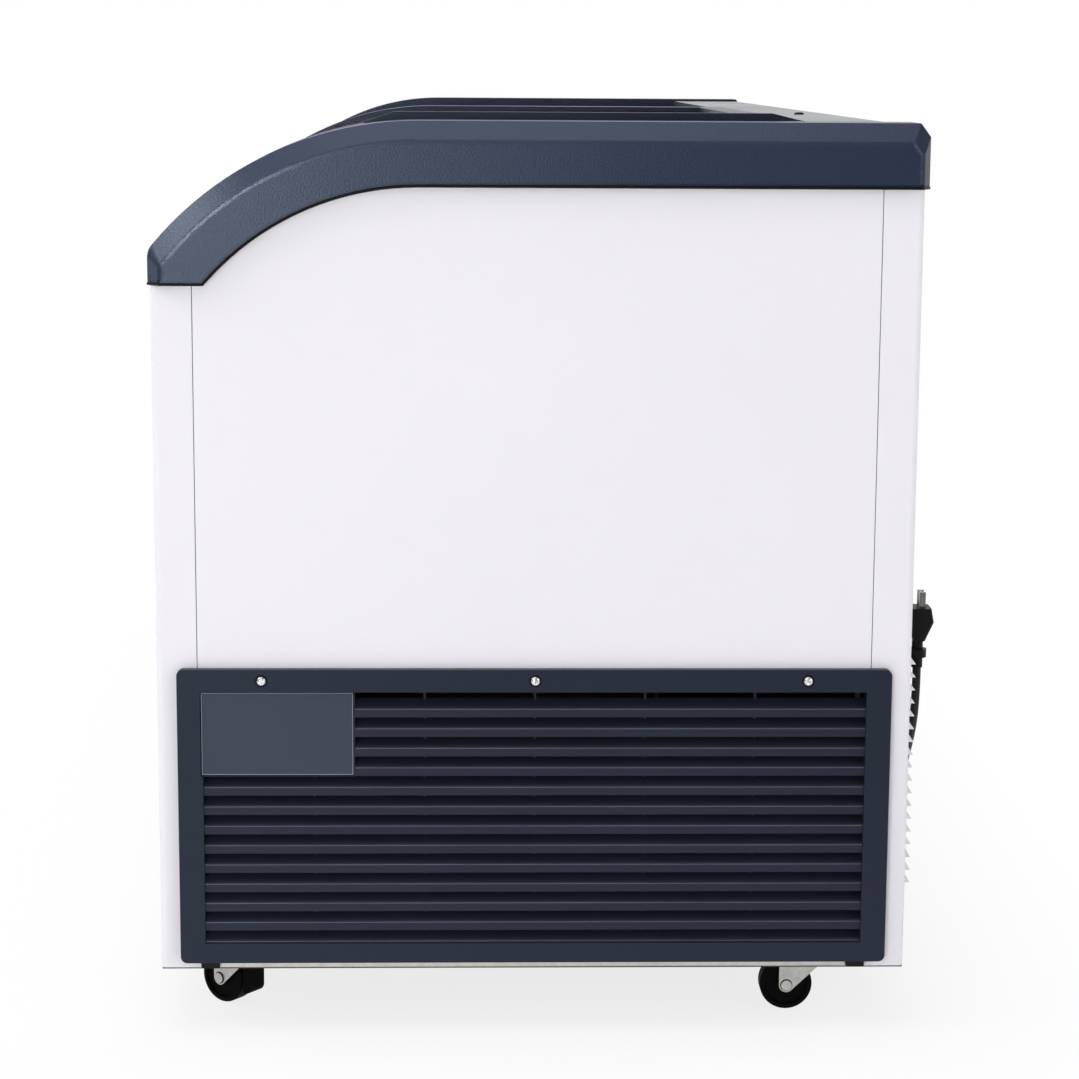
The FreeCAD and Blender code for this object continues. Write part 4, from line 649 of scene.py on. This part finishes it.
def lip_path(node):
    """Points and lines along the lower edge of a cap's lip, led round both corners to the rails."""
    shape = bmesh.new()
    shape.from_mesh(frame["nodes"][node].data)
    bmesh.ops.remove_doubles(shape, verts=shape.verts, dist=weld_reach)
    shape.normal_update()
    kept = []
    for edge in shape.edges:
        outside = all(abs(abs(v.co.x) - lip_depth) < face_slack for v in edge.verts)
        inner = [f for f in edge.link_faces if abs(f.normal.x) < sideways_limit
                 and abs(f.calc_center_median().x) < lip_depth - inner_step]
        if outside and inner and min(f.normal.z for f in inner) < upward_limit:
            kept.append(edge)
    corners = {}
    for edge in kept:
        for v in edge.verts:
            corners.setdefault(v, len(corners))
    points = [tuple(v.co) for v in corners]
    lines = [tuple(corners[v] for v in edge.verts) for edge in kept]
    shape.free()
    end = 1 if points[0][0] > 0 else -1
    for side in (-1, 1):
        near_corner = [point for point in points if side * point[1] > corner_reach]
        tip = min(near_corner, key=lambda point: point[2])
        before = points.index(tip)
        for x in (lip_turn, cap_inner):
            points.append((end * x, side * cap_half, tip[2]))
            lines.append((before, len(points) - 1))
            before = len(points) - 1
    return points, lines


for node in ("end_cap_near", "end_cap_far"):
    name = node.replace("end_cap", "cap_shade_gasket")
    points, lines = lip_path(node)
    # The black bead is a gasket and painted shade for the shade under the cap's lower edge.
    shade_gasket = grown(name, beads, seed_mesh(name + "_seeds", points, lines), Radius=shade_gasket_radius,
                   Finish=finishes["black_plastic"])
    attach(shade_gasket, "cabinet")
    print(name, "runs along", len(lines), "edges")

corner_points = [(end * corner_place[0], corner_place[1], z) for end in (1, -1) for z in corner_heights]
cap_corners = grown("cap_corners", beads, seed_mesh("corner_seeds", corner_points, in_pairs(corner_points)),
                    Radius=corner_radius, Sides=16, Finish=finishes["cap_plastic"])
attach(cap_corners, "cabinet")

# %% [markdown]
# Each caster's top plate is held by four hexagon bolts with washers, heads down. One head is a six-sided
# cylinder whose end is drawn out and narrowed into a chamfer. It is made once and set on all sixteen
# points.

# %% Caster bolts
plate_underside = 0.057
bolt_reach = 0.021
chamfer_share = 0.86
bolt_points = [(x + side * bolt_reach, y + end * bolt_reach, plate_underside)
               for x, y, turn in casters.values() for side in (-1, 1) for end in (-1, 1)]


def hexagon_bolt_tree():
    """Bolt heads on washers, heads down, each turned by its own chance angle."""
    tree, given = open_tree("hexagon_bolts", {"Radius": 0.0048, "Height": 0.0015, "Chamfer": 0.0003,
                                              "Washer": 0.0062, "Washer Height": 0.0005, "Seed": 2})
    disc = step(tree, "GeometryNodeMeshCylinder", Vertices=28, Radius=given["Washer"],
                Depth=given["Washer Height"])
    barrel = step(tree, "GeometryNodeMeshCylinder", Vertices=6, Radius=given["Radius"], Depth=given["Height"])
    drawn = step(tree, "GeometryNodeExtrudeMesh", Mesh=barrel, Selection=barrel.outputs["Top"],
                 Offset_Scale=given["Chamfer"])
    head = step(tree, "GeometryNodeScaleElements", Geometry=drawn, Selection=drawn.outputs["Top"],
                Scale=chamfer_share)
    rise = step(tree, "ShaderNodeMath", {"operation": "MULTIPLY"}, given["Height"], 0.5)
    lift = step(tree, "ShaderNodeCombineXYZ", Z=rise)
    raised = step(tree, "GeometryNodeTransform", Geometry=head, Translation=lift)
    whole = step(tree, "GeometryNodeJoinGeometry", Geometry=[disc, raised])
    heads = step(tree, "GeometryNodeInstanceOnPoints", Points=given["Seeds"], Instance=whole,
                 Rotation=(math.pi, 0, 0))
    spin = step(tree, "FunctionNodeRandomValue", {"data_type": "FLOAT_VECTOR"}, Min=(0, 0, -math.pi),
                Max=(0, 0, math.pi), Seed=given["Seed"])
    turned = step(tree, "GeometryNodeRotateInstances", Instances=heads, Rotation=spin)
    return close_tree(tree, given, turned)


caster_bolts = grown("caster_bolts", hexagon_bolt_tree(), seed_mesh("bolt_seeds", bolt_points),
                     Finish=finishes["zinc_steel"])
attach(caster_bolts, "cabinet")

# %% [markdown]
# A rivet through each fork carries the wheel. A dark ring round its two heads is painted shade, for the
# shade in the groove there. Each ring is a circle of seed lines round the axle, and the tree that made the
# seams' beads fills it, so one piece for each fork turns with the fork when the caster swivels.

# %% Painted shade rings round the axle rivets
trail = 0.026
axle_height = 0.025
fork_face = 0.0131
ring_radius = 0.0053
ring_thickness = 0.0006
ring_steps = 24


def ring_round(middle, across):
    """Seed points of an upright circle round an axle."""
    points = []
    for count in range(ring_steps):
        angle = 2 * math.pi * count / ring_steps
        points.append(middle + ring_radius * (math.cos(angle) * Vector((0, 0, 1)) + math.sin(angle) * across))
    return points


for corner, (x, y, turn) in casters.items():
    angle = math.radians(turn)
    axle = Vector((math.cos(angle), math.sin(angle), 0))
    across = Vector((-math.sin(angle), math.cos(angle), 0))
    hub = Vector((x, y, axle_height)) - trail * across
    points = []
    lines = []
    for side in (-1, 1):
        first = len(points)
        points += [tuple(point) for point in ring_round(hub + side * fork_face * axle, across)]
        lines += [(first + count, first + (count + 1) % ring_steps) for count in range(ring_steps)]
    # Painted shade: a dark ring for the shade in the groove round each rivet head.
    rings = grown(f"rivet_rings_{corner}", beads, seed_mesh(f"ring_seeds_{corner}", points, lines),
                  Radius=ring_thickness, Finish=painted_shade_steel)
    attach(rings, f"fork_{corner}")

# %% [markdown]
# A strip of pile under the upper lid's inner end brushes over the lower lid and keeps warm air out. Its
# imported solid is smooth, so this tree keeps the strip's upper face as a thin backing, scatters points
# over it with a fixed seed, and grows a tapered bristle inwards from each point, a little off straight.

# %% Pile strip of the upper lid
pile_weld = 0.00001
level_limit = 0.3
bristle_tip = 0.00006


def pile_tree():
    """A thin backing from the strip's upper face, with bristles that grow inwards from it."""
    tree, given = open_tree("pile_strip", {"Length": 0.0029, "Thickness": 0.00022, "Density": 420000.0,
                                           "Lean": 0.22, "Backing": 0.0006, "Seed": 11})
    strip = step(tree, "GeometryNodeMergeByDistance", Geometry=given["Seeds"], Distance=pile_weld)
    facing = step(tree, "ShaderNodeSeparateXYZ", Vector=step(tree, "GeometryNodeInputNormal"))
    not_up = step(tree, "FunctionNodeCompare", {"operation": "LESS_THAN"}, A=facing.outputs["Z"],
                  B=level_limit)
    face = step(tree, "GeometryNodeDeleteGeometry", {"domain": "FACE"}, Geometry=strip, Selection=not_up)
    sunk = step(tree, "ShaderNodeMath", {"operation": "MULTIPLY"}, given["Backing"], -1.0)
    walls = step(tree, "GeometryNodeExtrudeMesh", Mesh=face, Offset_Scale=sunk, Individual=False)
    inner = step(tree, "GeometryNodeFlipFaces", Mesh=walls)
    shell = step(tree, "GeometryNodeJoinGeometry", Geometry=[face, inner])
    backing = step(tree, "GeometryNodeMergeByDistance", Geometry=shell, Distance=pile_weld)
    roots = step(tree, "GeometryNodeDistributePointsOnFaces", Mesh=face, Density=given["Density"],
                 Seed=given["Seed"])
    bristle = step(tree, "GeometryNodeMeshCone", Vertices=4, Radius_Top=bristle_tip,
                   Radius_Bottom=given["Thickness"], Depth=given["Length"])
    down = step(tree, "GeometryNodeTransform", Geometry=bristle, Rotation=(math.pi, 0, 0))
    least = step(tree, "ShaderNodeMath", {"operation": "MULTIPLY"}, given["Lean"], -1.0)
    low = step(tree, "ShaderNodeCombineXYZ", X=least, Y=least)
    high = step(tree, "ShaderNodeCombineXYZ", X=given["Lean"], Y=given["Lean"], Z=math.pi)
    lean = step(tree, "FunctionNodeRandomValue", {"data_type": "FLOAT_VECTOR"}, Min=low, Max=high,
                Seed=given["Seed"])
    tufts = step(tree, "GeometryNodeInstanceOnPoints", Points=roots, Instance=down,
                 Rotation=roots.outputs["Rotation"])
    turned = step(tree, "GeometryNodeRotateInstances", Instances=tufts, Rotation=lean)
    return close_tree(tree, given, step(tree, "GeometryNodeJoinGeometry", Geometry=[backing, turned]))


pile_strip = grown("pile_strip", pile_tree(), frame["nodes"]["upper_lid_brush"].data.copy(),
                   Finish=finishes["pile"])
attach(pile_strip, "upper_lid")
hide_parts("upper_lid_brush")

# %% [markdown]
# One small dark plug closes a hole in the top of the rear rail. It is a turned shape: a profile of radius
# and height swept round the vertical axis, which a short loop does with clean quads.

# %% Hole plug on the rear rail
hole_place = (0.280, 0.303, 0.838)


def turned_piece(name, profile, place, paint, sides=32):
    """Sweeps a profile of (radius, height) pairs round Z; flat faces close its first and last rows."""
    points = []
    for radius, height in profile:
        for k in range(sides):
            angle = 2 * math.pi * k / sides
            points.append((place[0] + radius * math.cos(angle), place[1] + radius * math.sin(angle),
                           place[2] + height))
    faces = [tuple(reversed(range(sides)))]
    for row in range(len(profile) - 1):
        for k in range(sides):
            after = (k + 1) % sides
            lower = row * sides
            upper = lower + sides
            faces.append((lower + k, lower + after, upper + after, upper + k))
    last = (len(profile) - 1) * sides
    faces.append(tuple(range(last, last + sides)))
    mesh = bpy.data.meshes.new(name)
    mesh.from_pydata(points, [], faces)
    mesh.shade_smooth()
    mesh.set_sharp_from_angle(angle=sharp_angle)
    mesh.materials.append(paint)
    return placed(name, mesh)


plug_profile = [(0.0056, -0.0004), (0.0056, 0.0008), (0.0050, 0.0017), (0.0038, 0.0022), (0.0016, 0.0024)]
rail_plug = turned_piece("rail_hole_plug", plug_profile, hole_place, finishes["black_plastic"])
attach(rail_plug, "cabinet")
print("hole plug with", len(rail_plug.data.polygons), "faces")

# %% [markdown]
# A thin dark felt lies against the inside of the rear panel's louvres and keeps dust out of the machine.
# Without it, daylight would show through the louvres and the grille from some sides. It is one flat
# sheet, so a unit cube is enough, with its size and its place in one matrix.

# %% Dust felt behind the rear louvres
felt_size = Vector((0.295, 0.0010, 0.217))
felt_middle = Vector((0.7325, 0.3429, 0.2385))
felt_shape = bmesh.new()
bmesh.ops.create_cube(felt_shape, size=1.0, matrix=Matrix.LocRotScale(felt_middle, None, felt_size))
felt_mesh = bpy.data.meshes.new("dust_felt")
felt_shape.to_mesh(felt_mesh)
felt_shape.free()
felt_mesh.materials.append(finishes["pile"])
dust_felt = placed("dust_felt", felt_mesh)
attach(dust_felt, "cabinet")
print("dust felt of", [round(1000 * side, 1) for side in felt_size], "mm")

# %% [markdown]
# The picture is a plain product shot: white all round, soft light from above and from the camera's side.
# The floor keeps a faint shadow close to the casters and turns plain white about 30 cm further out. The
# white is only for rays that show a picture of it: straight to the camera, mirrored, or through the
# glass. Photographers hang black cloth beside the camera, so that dark plastic doesn't mirror a white
# room and turn grey. Here mirror images of the room fade to dark towards the machine end's side, where
# that cloth would be.

# %% Rays that show the white room
dark_level = 0.08


def either(tree, first, second):
    """The larger of two values."""
    return step(tree, "ShaderNodeMath", {"operation": "MAXIMUM"}, first, second).outputs["Value"]


def showing_rays(tree, mirrored=True):
    """One for rays that show a picture, with or without mirror images, and nought for the rest."""
    path = step(tree, "ShaderNodeLightPath").outputs
    value = either(tree, path["Is Camera Ray"], path["Is Transmission Ray"])
    if mirrored:
        value = either(tree, value, path["Is Glossy Ray"])
    return value


def white_level(tree, place, near, far, least):
    """One where the picture shows plainly; in mirror images it falls along X from near to far."""
    across = step(tree, "ShaderNodeSeparateXYZ", Vector=place).outputs["X"]
    ramp = step(tree, "ShaderNodeMapRange", Value=across, From_Min=near, From_Max=far, To_Min=1.0,
                To_Max=least)
    return either(tree, showing_rays(tree, mirrored=False), ramp.outputs["Result"])


print("mirror images fall to", dark_level, "of the white")

# %% [markdown]
# The floor is one large square. How far a spot lies beyond the freezer's footprint comes from its Object
# place: take the absolute value, subtract half the footprint, cut off what is below nought, and measure
# the length. That distance mixes the painted floor, which takes the shadow, with a plain white glow.

# %% Floor
floor_side = 30.0
half_footprint = (0.86, 0.32, 1.0)
least_white = 0.80
white_reach = 0.30
floor_dark_from = 1.3
floor_dark_to = 2.6


def fade_to_white(material, half_size, least, reach):
    """Mixes in plain white: a share under the freezer, rising to all of it at a reach beyond its edges."""
    tree = material.node_tree
    place = step(tree, "ShaderNodeTexCoord").outputs["Object"]
    beyond = step(tree, "ShaderNodeVectorMath", {"operation": "ABSOLUTE"}, place)
    beyond = step(tree, "ShaderNodeVectorMath", {"operation": "SUBTRACT"}, beyond, half_size)
    beyond = step(tree, "ShaderNodeVectorMath", {"operation": "MAXIMUM"}, beyond, (0, 0, 0))
    distance = step(tree, "ShaderNodeVectorMath", {"operation": "LENGTH"}, beyond).outputs["Value"]
    share = step(tree, "ShaderNodeMapRange", Value=distance, From_Max=reach, To_Min=least).outputs["Result"]
    factor = step(tree, "ShaderNodeMath", {"operation": "MULTIPLY"}, share, showing_rays(tree))
    level = white_level(tree, place, floor_dark_from, floor_dark_to, dark_level)
    glow = step(tree, "ShaderNodeEmission", Strength=level)
    both = step(tree, "ShaderNodeMixShader", None, factor, tree.nodes["Principled BSDF"], glow)
    fill(tree, tree.nodes["Material Output"], Surface=both)


floor_corners = [(-floor_side, -floor_side, 0), (floor_side, -floor_side, 0),
                 (floor_side, floor_side, 0), (-floor_side, floor_side, 0)]
floor_mesh = bpy.data.meshes.new("studio_floor")
floor_mesh.from_pydata(floor_corners, [], [(0, 1, 2, 3)])
studio_floor = placed("studio_floor", floor_mesh)
floor_paint = finish("floor_paint", (0.93, 0.93, 0.93), 0.8, skin=60, depth=0.0, vary=0.01)
fade_to_white(floor_paint, half_footprint, least_white, white_reach)
floor_mesh.materials.append(floor_paint)
print("floor", floor_side, "m each way")

# %% [markdown]
# The world is two skies in one. A weak one lights the freezer evenly, and a white one is what the camera
# sees behind it. A Mix Shader picks between them by the kind of ray, so that the white background adds no
# light. The Standard view keeps a strength of one as plain white.

# %% World
white = (1, 1, 1, 1)
sky_level = 0.20
sky_dark_from = -0.6
sky_dark_to = 0.1
world = bpy.data.worlds.new("studio")
world.use_nodes = True
bpy.context.scene.world = world
sky_tree = world.node_tree
soft_sky = fill(sky_tree, sky_tree.nodes["Background"], Color=white, Strength=sky_level)
way = step(sky_tree, "ShaderNodeTexCoord").outputs["Generated"]
seen_level = white_level(sky_tree, way, sky_dark_from, sky_dark_to, dark_level)
seen_sky = step(sky_tree, "ShaderNodeBackground", Color=white, Strength=seen_level)
pick = step(sky_tree, "ShaderNodeMixShader", None, showing_rays(sky_tree), soft_sky, seen_sky)
fill(sky_tree, sky_tree.nodes["World Output"], Surface=pick)
bpy.context.scene.view_settings.view_transform = "Standard"
print("world level", sky_level)

# %% [markdown]
# Area lamps make the soft light: one high beside the camera, one overhead, one low on the curved side, two
# that glance off the cap's bevel and its crease, and four fills for the rear corner, the front, the back
# and the plain end. Large lamps give gentle highlights, and the low one makes the cap's face run from
# light to dark. The crease's lamp lights the near cap alone, so that the white sheets keep their even
# tone. Three of the fills stay out of mirror images, where their squares would show in the dark rails.

# %% Studio lamps
def soft_lamp(name, place, target, size, watts, height=None, mirrored=True):
    """An area lamp that faces its target: square, unless a height is given, and mirrored by glossy pieces."""
    lamp = bpy.data.lights.new(name, "AREA")
    lamp.shape = "RECTANGLE"
    lamp.size = size
    lamp.size_y = height or size
    lamp.energy = watts
    body = placed(name, lamp)
    body.location = place
    body.visible_camera = False
    body.visible_glossy = mirrored
    aim = Vector(target) - Vector(place)
    body.rotation_euler = aim.to_track_quat("-Z", "Y").to_euler()
    return body


lamps = [soft_lamp("camera_side", (4.2, -1.0, 3.0), (0.9, 0, 0.5), 2.6, 20),
         soft_lamp("overhead", (0.6, -0.4, 3.6), (0, 0, 0.8), 3.0, 52),
         soft_lamp("curved_side", (3.4, -0.80, 0.62), (0.9, -0.2, 0.6), 1.0, 19),
         soft_lamp("bevel_glint", (1.6, -2.6, 2.6), (0.9, -0.3, 0.75), 1.2, 28, 0.9),
         soft_lamp("crease_glint", (3.3, -1.70, 1.90), (0.9, -0.3, 0.72), 0.9, 56),
         soft_lamp("rear_fill", (3.0, 2.8, 1.6), (0.9, 0.1, 0.4), 2.0, 32),
         soft_lamp("front_fill", (-0.6, -3.8, 1.9), (0, -0.35, 0.45), 2.4, 32, mirrored=False),
         soft_lamp("back_fill", (-0.8, 3.8, 1.9), (0, 0.35, 0.45), 2.4, 34, mirrored=False),
         soft_lamp("plain_end_fill", (-3.9, -0.4, 1.9), (-0.9, 0, 0.45), 2.0, 32, mirrored=False)]
near_cap_only = bpy.data.collections.new("near_cap_only")
near_cap_only.objects.link(frame["nodes"]["end_cap_near"])
bpy.data.objects["crease_glint"].light_linking.receiver_collection = near_cap_only
print("lamps", [lamp.name for lamp in lamps])
